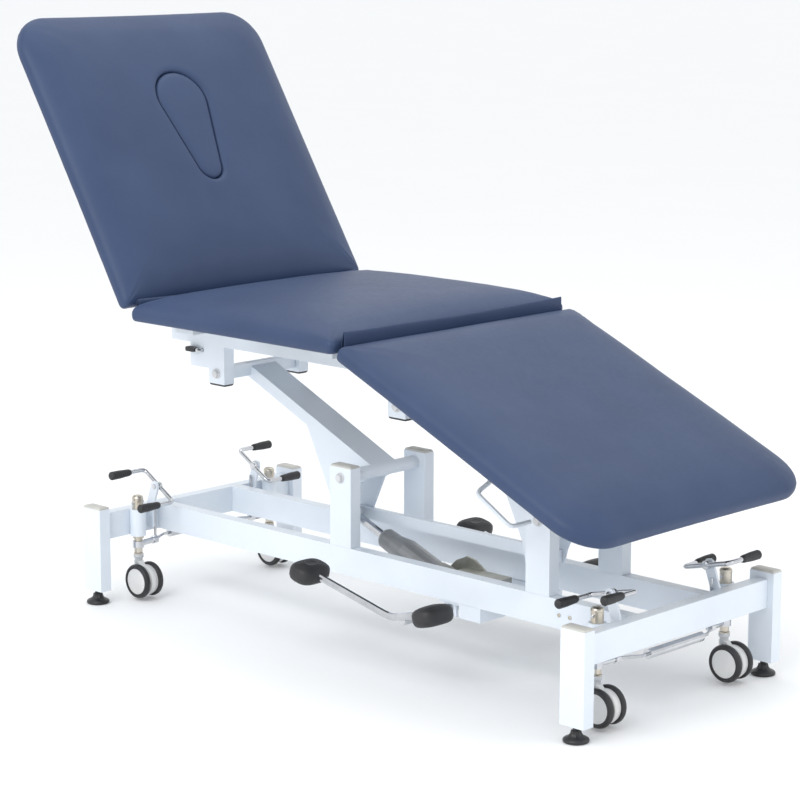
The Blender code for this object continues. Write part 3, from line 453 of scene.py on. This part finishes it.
def outline_points(length, inset, near_radius, far_radius, pull=0.0):
    """(along, across, bend) round a cushion: bend is 1 in the middle of a corner and 0 on a side."""
    half = HALF_WIDTH - inset
    corners = (
        (length - inset, half, far_radius, 0.0, 1.0, 1.0),
        (inset, half, near_radius, 0.5 * pi, -1.0, 1.0),
        (inset, -half, near_radius, pi, -1.0, -1.0),
        (length - inset, -half, far_radius, 1.5 * pi, 1.0, -1.0),
    )
    arcs = []
    for along, across, radius, start, sign_u, sign_v in corners:
        radius = max(radius - inset * 0.55, 0.010)
        centre = (along - sign_u * radius, across - sign_v * radius)
        arc = []
        for step in range(CORNER_STEPS + 1):
            turn = start + 0.5 * pi * step / CORNER_STEPS
            bend = sin(pi * step / CORNER_STEPS)
            arc.append((centre[0] + radius * cos(turn), centre[1] + radius * sin(turn), bend))
        arcs.append(arc)
    points = []
    for index, arc in enumerate(arcs):
        points.extend(arc)
        start, end = arc[-1], arcs[(index + 1) % 4][0]
        for step in range(1, SIDE_STEPS):
            t = step / SIDE_STEPS
            along = start[0] + (end[0] - start[0]) * t
            across = start[1] + (end[1] - start[1]) * t
            draw = pull * sin(pi * t)
            if abs(start[0] - end[0]) > abs(start[1] - end[1]):
                across -= draw * (1.0 if across > 0 else -1.0)
            else:
                along += draw * (1.0 if along < length / 2 else -1.0)
            points.append((along, across, 0.0))
    return points


def crown_height(along, across, length):
    """Extra height of the padded top: it rises quickly from the edges and is flat in the middle."""
    u = max(0.0, 1.0 - abs(2.0 * along / length - 1.0) ** 2.5)
    v = max(0.0, 1.0 - abs(across / HALF_WIDTH) ** 2.5)
    return CROWN * sqrt(u * v)


def corner_pleats(along, across, length, seed):
    """Short gathers that fan out from each corner, in metres."""
    from_end = min(along, length - along)
    from_side = HALF_WIDTH - abs(across)
    reach = hypot(from_end, from_side)
    near = max(0.0, 1.0 - reach / 0.150) ** 2
    if near == 0.0:
        return 0.0
    turn = atan2(from_side, from_end)
    place = Vector((turn * 6.5, seed + (3.0 if across > 0 else 0.0), 2.0 if along < length / 2 else 7.0))
    return 0.0048 * near * noise.noise(place)


def soft_noise(along, across, seed):
    """Slow undulation of foam under vinyl, in metres."""
    point = Vector((along * 6.0 + seed * 7.3, across * 6.0, seed * 3.1))
    fine = Vector((along * 19.0, across * 19.0, seed * 5.7))
    return 0.0014 * noise.noise(point) + 0.0004 * noise.noise(fine)


def wall_wrinkle(along, across, normal, bend, seed):
    """Small gathers where the vinyl is pulled under the board, strongest at the corners."""
    low = max(0.0, 1.0 - abs(normal - 0.010) / 0.022)
    gather = 0.00055 * noise.noise(Vector((along * 55.0, across * 55.0, normal * 25.0 + seed)))
    pleat = 0.0011 * bend * noise.noise(Vector((along * 150.0, across * 150.0, normal * 18.0 + seed * 2.0)))
    return low * (gather + pleat)


# (inset, height) rows from the rolled underside to the top of the edge roll.
WALL_ROWS = (
    (0.0300, 0.0006), (0.0150, 0.0006), (0.0080, 0.0007), (0.0042, 0.0018), (0.0018, 0.0046),
    (0.0006, 0.0085), (0.0001, 0.0130), (0.0000, 0.0175), (0.0005, 0.0210), (0.0017, 0.0240),
    (0.0038, 0.0268), (0.0068, 0.0294), (0.0106, 0.0317), (0.0150, 0.0336), (0.0202, 0.0354),
    (0.0262, 0.0371), (0.0330, 0.0387), (0.0405, 0.0402), (0.0485, 0.0416), (0.0570, 0.0428),
)


def wall_loops(length, near_radius, far_radius, place, seed):
    """The underside lip, side wall and edge roll of a cushion."""
    loops = []
    for inset, height in WALL_ROWS:
        loop = []
        for along, across, bend in outline_points(length, inset, near_radius, far_radius, 0.0016):
            push = wall_wrinkle(along, across, height, bend, seed)
            centre_u, centre_v = length / 2, 0.0
            reach = hypot(along - centre_u, across - centre_v)
            along += (along - centre_u) / reach * push
            across += (across - centre_v) / reach * push
            share = min(1.0, max(0.0, (height - 0.022) / 0.0200))
            lift = share * (crown_height(along, across, length) + soft_noise(along, across, seed)
                            + corner_pleats(along, across, length, seed))
            loop.append(place(along, across, height + lift))
        loops.append(loop)
    return loops


def top_point(along, across, length, place, seed, drop=0.0):
    """A point of the padded top; the last centimetres before the edge roll fall away."""
    from_edge = min(along, length - along, HALF_WIDTH - abs(across))
    fall = 0.0024 * max(0.0, 1.0 - (from_edge - TOP_INSET) / 0.060) ** 2
    height = TOP_BASE - fall + crown_height(along, across, length)
    height += soft_noise(along, across, seed) + corner_pleats(along, across, length, seed)
    return place(along, across, height - drop)


def plain_top_loops(length, near_radius, far_radius, place, seed):
    """Rings over the top of a cushion, from the edge roll to a small ring in its middle."""
    loops = []
    rings = 26
    for ring in range(rings):
        t = (ring + 1) / rings
        outer = outline_points(length, TOP_INSET, near_radius, far_radius)
        loop = []
        for along, across, _bend in outer:
            shrink = 1.0 - 0.985 * t
            nearer = length / 2 + (along - length / 2) * shrink
            loop.append(top_point(nearer, across * shrink, length, place, seed))
        loops.append(loop)
    return loops


def tear_outline(grow):
    """The face hole outline as (along, across) points; grow widens it."""
    wide_u, wide_r = HOLE_WIDE
    narrow_u, narrow_r = HOLE_NARROW
    lean = (wide_r - narrow_r) / (wide_u - narrow_u)
    points = []
    for centre, radius, start, finish in (
        (wide_u, wide_r + grow, -0.5 * pi - lean, 0.5 * pi + lean),
        (narrow_u, narrow_r + grow, 0.5 * pi + lean, 1.5 * pi - lean),
    ):
        for step in range(49):
            turn = start + (finish - start) * step / 48
            points.append((centre + radius * cos(turn), radius * sin(turn)))
    return points


HOLE_CENTRE = (0.378, 0.0)


def ray_to(outline, direction):
    """Where a ray from the hole's centre in a direction meets a closed outline."""
    cu, cv = HOLE_CENTRE
    du, dv = direction
    best = None
    for (au, av), (bu, bv) in zip(outline, outline[1:] + outline[:1]):
        eu, ev = bu - au, bv - av
        cross = du * ev - dv * eu
        if abs(cross) < 1e-12:
            continue
        t = ((au - cu) * ev - (av - cv) * eu) / cross
        s = ((au - cu) * dv - (av - cv) * du) / cross
        if t > 0 and -1e-9 <= s <= 1.0 + 1e-9 and (best is None or t > best):
            best = t
    return cu + du * best, cv + dv * best


# (distance out from the hole's edge, drop below the top) down the rolled lip of the face hole.
LIP_ROWS = (
    (0.0170, 0.0000), (0.0125, 0.0001), (0.0092, 0.0005), (0.0065, 0.0013), (0.0043, 0.0025),
    (0.0026, 0.0042), (0.0013, 0.0063), (0.0005, 0.0090), (0.0001, 0.0125), (0.0000, 0.0180),
)


def build_back_cushion():
    """The back cushion, with its teardrop face hole."""
    near, far, seed = NEAR_CORNER, FAR_CORNER, 2.0
    loops = wall_loops(BACK_LENGTH, near, far, back_place, seed)
    edge = outline_points(BACK_LENGTH, TOP_INSET, near, far)
    directions = []
    for along, across, _bend in edge:
        du, dv = along - HOLE_CENTRE[0], across - HOLE_CENTRE[1]
        size = hypot(du, dv)
        directions.append((du / size, dv / size))
    lip = [ray_to(tear_outline(LIP_ROWS[0][0]), direction) for direction in directions]
    rings = 24
    for ring in range(rings):
        t = (ring / rings) ** 0.9
        loop = []
        for (along, across, _bend), (lip_u, lip_v) in zip(edge, lip):
            loop.append(top_point(along + (lip_u - along) * t, across + (lip_v - across) * t,
                                  BACK_LENGTH, back_place, seed))
        loops.append(loop)
    for out, drop in LIP_ROWS:
        outline = tear_outline(out)
        loop = []
        for direction in directions:
            along, across = ray_to(outline, direction)
            loop.append(top_point(along, across, BACK_LENGTH, back_place, seed, drop))
        loops.append(loop)
    for normal in (0.020, 0.006, 0.0006):
        outline = tear_outline(0.0)
        loops.append([back_place(*ray_to(outline, direction), normal) for direction in directions])
    loops.append([back_place(*ray_to(tear_outline(0.030), direction), 0.0006) for direction in directions])
    points, faces = loops_to_mesh(loops, cap_start=False, cap_end=False)
    count = len(directions)
    last = (len(loops) - 1) * count
    for i in range(count):
        j = (i + 1) % count
        faces.append((last + i, last + j, j, i))
    cushion = mesh_object("back_cushion_cover", points, faces, VINYL, None, angle=60.0)
    finish_cushion(cushion, "back_cushion", "back_section", count, len(faces) - count)


def finish_cushion(cushion, node, body, count, underside):
    """Dust cloth on the underside and the body it rides on; the CAD node it replaces is hidden."""
    cushion.data.materials.append(DUST)
    for index in range(underside, len(cushion.data.polygons)):
        cushion.data.polygons[index].material_index = 1
    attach(cushion, body)
    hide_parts(node)


def build_plain_cushion(name, node, body, length, far_radius, place, seed):
    loops = wall_loops(length, NEAR_CORNER, far_radius, place, seed)
    loops += plain_top_loops(length, NEAR_CORNER, far_radius, place, seed)
    points, faces = loops_to_mesh(loops, cap_start=False, cap_end=True)
    count = len(loops[0])
    faces.append(tuple(reversed(range(count))))
    cushion = mesh_object(name, points, faces, VINYL, None, angle=60.0)
    finish_cushion(cushion, node, body, count, len(faces) - 1)


def build_plug():
    """The removable teardrop plug in the face hole."""
    side_rows = ((0.0060, 0.0008), (0.0022, 0.0010), (0.0014, 0.0040), (0.0012, 0.0300))
    top_rows = (
        (0.0012, 0.0140), (0.0013, 0.0105), (0.0018, 0.0078), (0.0030, 0.0053), (0.0050, 0.0034),
        (0.0080, 0.0020), (0.0120, 0.0012), (0.0170, 0.0008), (0.0220, 0.0006),
    )
    loops = []
    for shrink, normal in side_rows:
        loops.append([back_place(along, across, normal) for along, across in tear_outline(-shrink)])
    for shrink, drop in top_rows:
        loops.append([top_point(along, across, BACK_LENGTH, back_place, 2.0, drop)
                      for along, across in tear_outline(-shrink)])
    spine = (HOLE_NARROW[0] + HOLE_WIDE[0]) / 2
    for share in (0.75, 0.5, 0.25, 0.04):
        ring = []
        for along, across in tear_outline(-0.0220):
            centre = min(max(along, HOLE_NARROW[0]), HOLE_WIDE[0])
            centre = centre * 0.5 + spine * 0.5
            ring.append(top_point(centre + (along - centre) * share, across * share,
                                  BACK_LENGTH, back_place, 2.0, 0.0004))
        loops.append(ring)
    points, faces = loops_to_mesh(loops)
    plug = mesh_object("face_plug_cover", points, faces, VINYL, "face_plug", angle=60.0)
    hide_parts("face_hole_plug")


def bow(start, crest, end, t):
    """A point of the quadratic curve from start over crest to end."""
    return start * (1 - t) ** 2 + crest * 2 * t * (1 - t) + end * t * t


def build_flap(name, start, crest, end, seed):
    """A strip of vinyl folded up between two sections; it stands highest at its two ends."""
    half = 0.317
    columns = 120
    rows = 16
    thickness = 0.0016
    rings = []
    for column in range(columns + 1):
        across = -half + 2.0 * half * column / columns
        sway = 0.0016 * noise.noise(Vector((across * 9.0, seed, 0.0)))
        sink = 0.0032 * (1.0 - (across / half) ** 4)
        sink += 0.0022 * noise.noise(Vector((across * 5.0, seed + 4.0, 0.0)))
        upper, lower = [], []
        for row in range(rows + 1):
            t = row / rows
            tangent = ((crest - start) * (1 - t) + (end - crest) * t).normalized()
            side = Vector((-tangent.z, 0.0, tangent.x))
            rise = sin(pi * t)
            middle = bow(start, crest, end, t) + Vector((sway * rise, across, -sink * rise))
            upper.append(middle + side * thickness * 0.5)
            lower.append(middle - side * thickness * 0.5)
        rings.append(upper + list(reversed(lower)))
    points, faces = loops_to_mesh(rings)
    flap = mesh_object(name, points, faces, VINYL, None, angle=50.0)
    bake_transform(flap)
    sunk = crest - Vector((0.0, 0.0, 0.0050))
    curve = [bow(start, sunk, end, row / 40) for row in range(41)]
    length = sum((after - before).length for before, after in zip(curve, curve[1:]))


def build_upholstery():
    build_plain_cushion("seat_cushion_cover", "seat_cushion", "top_frame",
                        SEAT_LENGTH, NEAR_CORNER, seat_place, 1.0)
    build_plain_cushion("leg_cushion_cover", "leg_cushion", "leg_section",
                        LEG_LENGTH, FAR_CORNER, leg_place, 3.0)
    build_back_cushion()
    build_plug()
    build_flap("seat_leg_flap", seat_place(SEAT_LENGTH + 0.0015, 0.0, 0.014),
               Vector((0.1186 + SHIFT, 0.0, 0.7180)), leg_place(-0.0015, 0.0, 0.016),
               1.5)
    build_flap("seat_back_flap", seat_place(-0.0015, 0.0, 0.016), Vector((-0.4760 + SHIFT, 0.0, 0.7030)),
               back_place(-0.0015, 0.0, 0.022), 6.5)


build_upholstery()


# ---- caps and bolts ---------------------------------------------------------
MID_PIVOT_X = -0.0918 + SHIFT
FOOT_PIVOT_X = 0.4348 + SHIFT
LOWER_PIVOT_Z = 0.340
UPPER_HEAD_X = -0.4608 + SHIFT
UPPER_FOOT_X = 0.0658 + SHIFT
UPPER_PIVOT_Z = 0.508
RAIL_OUTER_Y = 0.1232
TUBE_THIN = 0.028
DROP_BOTTOM = 0.486


def top_centre(node):
    """The middle of a node's top face, and its half sizes along X and Y."""
    low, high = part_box(node)
    middle = Vector(((low.x + high.x) / 2, (low.y + high.y) / 2, high.z))
    return middle, (high.x - low.x) / 2, (high.y - low.y) / 2


def build_caps():
    for end, _x in ENDS:
        for side, _y in SIDES:
            centre, half_x, half_y = top_centre(f"base_leg_{end}_{side}")
            tube_cap(f"leg_cap_{end}_{side}", centre, half_x, half_y, "base_frame")
    for place in ("mid", "foot"):
        for side, _y in SIDES:
            centre, half_x, half_y = top_centre(f"pivot_post_{place}_{side}")
            tube_cap(f"post_cap_{place}_{side}", centre, half_x, half_y, "base_frame")


def build_pivot_bolts():
    pivots = (
        ("mid", MID_PIVOT_X, LOWER_PIVOT_Z, "base_frame"),
        ("foot", FOOT_PIVOT_X, LOWER_PIVOT_Z, "base_frame"),
        ("upper_head", UPPER_HEAD_X, UPPER_PIVOT_Z, "top_frame"),
        ("upper_foot", UPPER_FOOT_X, UPPER_PIVOT_Z, "top_frame"),
    )
    for place, x, z, body in pivots:
        for side, sign in SIDES:
            centre, outward = (x, sign * RAIL_OUTER_Y, z), (0.0, sign, 0.0)
            bolt_head(f"pivot_bolt_{place}_{side}", centre, outward, 0.0085, 0.0075, body)


def build_drop_caps():
    for place, x in (("head", UPPER_HEAD_X), ("foot", UPPER_FOOT_X)):
        for side, sign in SIDES:
            centre = Vector((x, sign * (RAIL_OUTER_Y - TUBE_THIN / 2), DROP_BOTTOM))
            tube_cap(f"drop_cap_{place}_{side}", centre, 0.024, TUBE_THIN / 2, "top_frame",
                     flip=True, material=FOOT_BLACK)


build_caps()
build_pivot_bolts()
build_drop_caps()


# ---- feet, castors and pedals -----------------------------------------------
STEM_X = 0.640
STEM_Y = 0.195
PEDAL_Y = 0.245


def build_levelling_feet():
    profile = (
        (0.0000, 0.0200), (0.0006, 0.0228), (0.0018, 0.0243), (0.0040, 0.0245), (0.0058, 0.0240),
        (0.0075, 0.0222), (0.0095, 0.0182), (0.0115, 0.0142), (0.0140, 0.0115), (0.0170, 0.0100),
        (0.0215, 0.0092), (0.0225, 0.0070), (0.0240, 0.0060), (0.0296, 0.0060),
    )
    for end, _x in ENDS:
        for side, _y in SIDES:
            node = f"levelling_foot_{end}_{side}"
            low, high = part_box(node)
            centre = Vector(((low.x + high.x) / 2, (low.y + high.y) / 2, 0.0))

            def knurl(along, turn):
                return 0.0007 * cos(10.0 * turn) if 0.012 < along < 0.0220 else 0.0
            foot = lathe(f"foot_pad_{end}_{side}", centre, (0, 0, 1), profile, FOOT_BLACK,
                         f"foot_{end}_{side}", segments=60, ripple=knurl)
            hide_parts(node)


def build_castors():
    # (along the axle from the inner face, radius)
    tread = ((0.0050, 0.0310), (0.0044, 0.0330), (0.0050, 0.0350), (0.0068, 0.0367), (0.0092, 0.0374),
             (0.0115, 0.0375), (0.0138, 0.0371), (0.0160, 0.0360), (0.0173, 0.0347), (0.0179, 0.0334),
             (0.0181, 0.0322), (0.0177, 0.0310), (0.0167, 0.0304))
    disc = ((0.0002, 0.0060), (0.0000, 0.0295), (0.0008, 0.0314), (0.0060, 0.0320), (0.0150, 0.0316),
            (0.0162, 0.0308), (0.0167, 0.0302), (0.0162, 0.0296), (0.0165, 0.0284), (0.0174, 0.0260),
            (0.0182, 0.0215), (0.0187, 0.0140), (0.0189, 0.0030))
    for end, _x in ENDS:
        for side, _y in SIDES:
            node = f"castor_wheels_{end}_{side}"
            low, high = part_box(node)
            centre = (low + high) / 2
            body = f"wheels_{end}_{side}"
            for face, sign in SIDES:
                start = Vector((centre.x, centre.y + sign * 0.0070, centre.z))
                direction = (0.0, sign, 0.0)
                tyre = lathe(f"castor_tyre_{end}_{side}_{face}", start, direction, tread, TREAD, body,
                             segments=72)
                lathe(f"castor_disc_{end}_{side}_{face}", start, direction, disc, HUB, body,
                      segments=64)
                if face == "right":
                    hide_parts(node)
            build_yoke(end, side, centre)


def build_yoke(end, side, axle):
    """The housing between the wheels: a drum, a hood over it and the neck with its collar."""
    node = f"castor_yoke_{end}_{side}"
    body = f"yoke_{end}_{side}"
    x_sign = -1.0 if end == "head" else 1.0
    stem = Vector((x_sign * STEM_X + SHIFT, axle.y, 0.0))
    drum = ((0.0000, 0.0270), (0.0006, 0.0325), (0.0020, 0.0335), (0.0116, 0.0335), (0.0130, 0.0325),
            (0.0136, 0.0270))
    made = lathe(f"castor_drum_{end}_{side}", axle - Vector((0, 0.0068, 0)), (0, 1, 0), drum, HUB, body,
                 segments=64)
    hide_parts(node)
    neck = ((0.0740, 0.0078), (0.0780, 0.0084), (0.0880, 0.0086), (0.0900, 0.0104), (0.0912, 0.0110),
            (0.0955, 0.0110), (0.0975, 0.0102))
    lathe(f"castor_neck_{end}_{side}", stem, (0, 0, 1), neck, NYLON, body, segments=48)
    nut = ((0.0970, 0.0094), (0.0976, 0.0108), (0.1000, 0.0110), (0.1008, 0.0094))

    def hexagon(_along, turn):
        local = (turn % (pi / 3.0)) - pi / 6.0
        return 0.0108 * (cos(pi / 6.0) / cos(local) - 1.0)
    lathe(f"castor_nut_{end}_{side}", stem, (0, 0, 1), nut, ZINC, body,
          segments=48, ripple=hexagon, angle=25.0)
    hood = []
    for share, half_x, half_y, height in (
        (0.0, 0.0150, 0.0064, 0.060), (0.3, 0.0155, 0.0064, 0.068), (0.6, 0.0140, 0.0064, 0.074),
        (0.85, 0.0115, 0.0068, 0.079), (1.0, 0.0095, 0.0072, 0.083),
    ):
        middle = Vector((stem.x + 0.012 * (1.0 - share), stem.y, height))
        hood.append([middle + Vector((x, y, 0.0)) for x, y in rounded_square(half_x, half_y, 0.004)])
    points, faces = loops_to_mesh(hood)
    mesh_object(f"castor_hood_{end}_{side}", points, faces, HUB, body)


def build_stem_tips():
    """Slotted domes on the castor stems, and the pins that cross them."""
    for end, x_sign in ENDS:
        for side, y_sign in SIDES:
            top = Vector((x_sign * STEM_X + SHIFT, y_sign * STEM_Y, 0.0))
            body = f"castor_lift_{end}"
            dome = ((0.2188, 0.0122), (0.2200, 0.0126), (0.2225, 0.0124), (0.2250, 0.0113), (0.2270, 0.0092),
                    (0.2282, 0.0062), (0.2287, 0.0020))
            lathe(f"stem_dome_{end}_{side}", top, (0, 0, 1), dome, ZINC, body, segments=40)
            for direction, label in ((-1.0, "outer"), (1.0, "inner")):
                pin = ((0.0, 0.0030), (0.0030, 0.0034), (0.0040, 0.0034), (0.0048, 0.0022))
                lathe(f"stem_pin_{end}_{side}_{label}", top + Vector((0.0, direction * 0.0112, 0.2120)),
                      (0.0, direction, 0.0), pin, CHROME, body, segments=20)


# Castor pedals: pivot, half the bar's length, slope at each end and where the grips lie.
ROCKER_X = 0.633
ROCKER_Y = 0.1405
ROCKER_Z = 0.241
ROCKER_HALF_LENGTH = 0.055
ROCKER_SLOPE = {"head": radians(31.4), "foot": radians(13.8)}
GRIP_START_Y = 0.1815
GRIP_END_Y = 0.2380


def rounded_path(corners, radius, steps=8):
    """Replace each inner corner of a polyline by a smooth bend."""
    path = [corners[0]]
    for before, corner, after in zip(corners, corners[1:], corners[2:]):
        start = corner + (before - corner).normalized() * radius
        end = corner + (after - corner).normalized() * radius
        path.extend(bow(start, corner, end, step / steps) for step in range(steps + 1))
    path.append(corners[-1])
    return path


def swept_rod(name, path, radius, material, body, segments=20):
    """Sweep a circle along a path without twist."""
    directions = [(after - before).normalized() for before, after in zip(path, path[1:])]
    across, _up = square_to(directions[0])
    loops = []
    for index, point in enumerate(path):
        tangent = directions[max(index - 1, 0)] + directions[min(index, len(directions) - 1)]
        tangent.normalize()
        across = (across - tangent * across.dot(tangent)).normalized()
        up = tangent.cross(across)
        loops.append([point + radius * (cos(turn) * across + sin(turn) * up)
                      for turn in (2.0 * pi * step / segments for step in range(segments))])
    points, faces = loops_to_mesh(loops)
    return mesh_object(name, points, faces, material, body)


def grip_profile(span):
    """(along, radius) rows of a slim grip with shallow rings and a rounded end."""
    profile = []
    steps = 44
    for step in range(steps + 1):
        t = step / steps
        radius = 0.0074 + 0.0020 * min(1.0, t * 1.8)
        radius *= sqrt(max(0.0, 1.0 - max(0.0, (t - 0.90) / 0.102) ** 2)) * 0.98 + 0.02
        radius *= 0.86 + 0.14 * min(1.0, t * 14.0)
        if 0.18 < t < 0.88:
            radius -= 0.00026 * (1.0 + cos(2.0 * pi * (t - 0.18) / 0.10))
        profile.append((span * t, max(radius, 0.0004)))
    return profile


def build_castor_pedals():
    """At each corner: a chrome bar bent twice, on a hub and pin, with a black grip on each end."""
    profile = grip_profile(GRIP_END_Y - GRIP_START_Y)
    hub = (
        (0.0, 0.0064), (0.0006, 0.0084), (0.0012, 0.0088), (0.0104, 0.0088),
        (0.0110, 0.0084), (0.0116, 0.0052), (0.0200, 0.0050),
    )
    for end, x_sign in ENDS:
        slope = ROCKER_SLOPE[end]
        for side, y_sign in SIDES:
            body = f"rocker_{end}_{side}"
            pivot = Vector((x_sign * ROCKER_X + SHIFT, y_sign * ROCKER_Y, ROCKER_Z))
            outward = Vector((x_sign * cos(slope), 0.0, sin(slope))) * ROCKER_HALF_LENGTH
            reach = Vector((0.0, y_sign * (GRIP_START_Y + 0.004 - ROCKER_Y), 0.0))
            corners = [pivot + outward + reach, pivot + outward, pivot - outward, pivot - outward + reach]
            bar = swept_rod(f"castor_pedal_bar_{end}_{side}", rounded_path(corners, 0.012), 0.0049, CHROME,
                            body)
            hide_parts(f"castor_pedal_{end}_{side}")
            lathe(f"castor_pedal_hub_{end}_{side}", pivot - Vector((0.0, y_sign * 0.0045, 0.0)),
                  (0.0, y_sign, 0.0), hub, CHROME, body, segments=32)
            for place, middle in (("outer", pivot + outward), ("inner", pivot - outward)):
                start = Vector((middle.x, y_sign * GRIP_START_Y, middle.z))
                lathe(f"pedal_grip_{end}_{side}_{place}", start, (0.0, y_sign, 0.0), profile, RUBBER, body,
                      segments=36, angle=60.0)


def build_pedal_pads():
    """Domed rubber foot pads with concentric ridges."""
    for side, sign in SIDES:
        for place, centre, slope in (
            ("long", Vector((-0.0560 + SHIFT, sign * PEDAL_Y, 0.1765)), radians(13.0)),
            ("short", Vector((0.2780 + SHIFT, sign * PEDAL_Y, 0.1515)), radians(-14.0)),
        ):
            turn_to = Matrix.Translation(centre) @ Matrix.Rotation(slope, 4, "Y")
            loops = []
            rows = [(-0.0200, 0.55), (-0.0206, 0.70), (-0.0188, 0.84), (-0.0150, 0.94), (-0.0090, 1.0),
                    (0.0000, 1.01), (0.0060, 0.99), (0.0098, 0.94), (0.0124, 0.86)]
            rows += [(0.0141, 0.77), (0.0131, 0.74), (0.0147, 0.70), (0.0157, 0.63), (0.0147, 0.60),
                     (0.0161, 0.55), (0.0168, 0.47), (0.0158, 0.44), (0.0170, 0.40), (0.0174, 0.30),
                     (0.0165, 0.26), (0.0161, 0.16), (0.0159, 0.04)]
            for height, scale in rows:
                loop = []
                for step in range(64):
                    turn = 2.0 * pi * step / 64
                    power = 0.66
                    cu, sv = cos(turn), sin(turn)
                    along = 0.0292 * scale * (abs(cu) ** power) * (1 if cu > 0 else -1)
                    across = 0.0412 * scale * (abs(sv) ** power) * (1 if sv > 0 else -1)
                    loop.append(turn_to @ Vector((along, across, height)))
                loops.append(loop)
            points, faces = loops_to_mesh(loops)
            pad = mesh_object(f"foot_pedal_{place}_{side}", points, faces, RUBBER, "pump_pedals",
                              angle=48.0)
            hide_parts(f"pedal_pad_{place}_{side}")


def build_lever_grip():
    """The black plastic tab on the back section's release lever."""
    centre = Vector((-0.5275 + SHIFT, -0.1330, 0.55425))
    rows = ((-0.0068, 0.0110, 0.0030), (-0.0064, 0.0136, 0.0046), (-0.0048, 0.0142, 0.0052),
            (0.0048, 0.0142, 0.0052), (0.0064, 0.0136, 0.0046), (0.0068, 0.0110, 0.0030))
    loops = []
    for across, half_x, half_z in rows:
        outline = rounded_square(half_x, half_z, 0.003)
        loops.append([centre + Vector((x, across, z)) for x, z in outline])
    points, faces = loops_to_mesh(loops)
    mesh_object("lever_grip", points, faces, RUBBER, "release_lever")


def build_rail_screws():
    """Two small screws near the foot end of each long base rail."""
    for side, sign in SIDES:
        for index, x in enumerate(RAIL_SCREW_X):
            centre = (x + SHIFT, sign * RAIL_OUTER_Y, RAIL_SCREW_Z)
            bolt_head(f"rail_screw_{side}_{index}", centre, (0.0, sign, 0.0), 0.0030, 0.0016,
                      "base_frame", material=ZINC)


build_levelling_feet()
build_castors()
build_stem_tips()
build_castor_pedals()
build_pedal_pads()
build_lever_grip()
build_rail_screws()


# ---- studio -----------------------------------------------------------------
def build_floor():
    size = 60.0
    points = [(-size, -size, 0.0), (size, -size, 0.0), (size, size, 0.0), (-size, size, 0.0)]
    floor = mesh_object("studio_floor", points, [(0, 1, 2, 3)], FLOOR, smooth=False)


def area_light(name, position, target, size, power, colour=(1.0, 1.0, 1.0)):
    light = bpy.data.lights.new(name, "AREA")
    light.shape = "RECTANGLE"
    light.size, light.size_y = size
    light.energy = power
    light.color = colour
    made = bpy.data.objects.new(name, light)
    made.location = position
    direction = Vector(target) - Vector(position)
    made.rotation_euler = direction.to_track_quat("-Z", "Y").to_euler()
    bpy.context.scene.collection.objects.link(made)


def build_light():
    world = bpy.data.worlds.new("studio")
    bpy.context.scene.world = world
    world.use_nodes = True
    background = world.node_tree.nodes["Background"]
    background.inputs["Color"].default_value = (0.97, 0.985, 1.0, 1.0)
    background.inputs["Strength"].default_value = 1.0
    bpy.context.scene.view_settings.view_transform = "Standard"
    area_light("key", (0.6, -3.6, 3.2), (0.0, 0.0, 0.5), (3.0, 2.4), 80.0)
    area_light("top", (-0.6, 0.6, 3.6), (0.0, 0.0, 0.4), (3.2, 3.2), 30.0)
    area_light("side", (4.2, 1.6, 2.0), (0.2, 0.0, 0.5), (2.4, 2.4), 12.0)


def build_camera():
    camera = bpy.data.cameras.new("camera")
    camera.lens = 112.6
    camera.sensor_width = 36.0
    yaw, pitch, roll = radians(43.66), radians(-10.871), 0.0024
    right = Vector((cos(yaw), sin(yaw), 0.0))
    forward = Vector((-sin(yaw) * cos(pitch), cos(yaw) * cos(pitch), sin(pitch)))
    up = right.cross(forward)
    tilted_right = right * cos(roll) + up * sin(roll)
    tilted_up = up * cos(roll) - right * sin(roll)
    made = bpy.data.objects.new("camera", camera)
    turn = Matrix((tilted_right, tilted_up, -forward)).transposed().to_4x4()
    made.matrix_world = Matrix.Translation((3.410 + SHIFT, -3.618, 1.451)) @ turn
    camera.clip_end = 100.0
    bpy.context.scene.collection.objects.link(made)
    bpy.context.scene.camera = made


build_floor()
build_light()
build_camera()
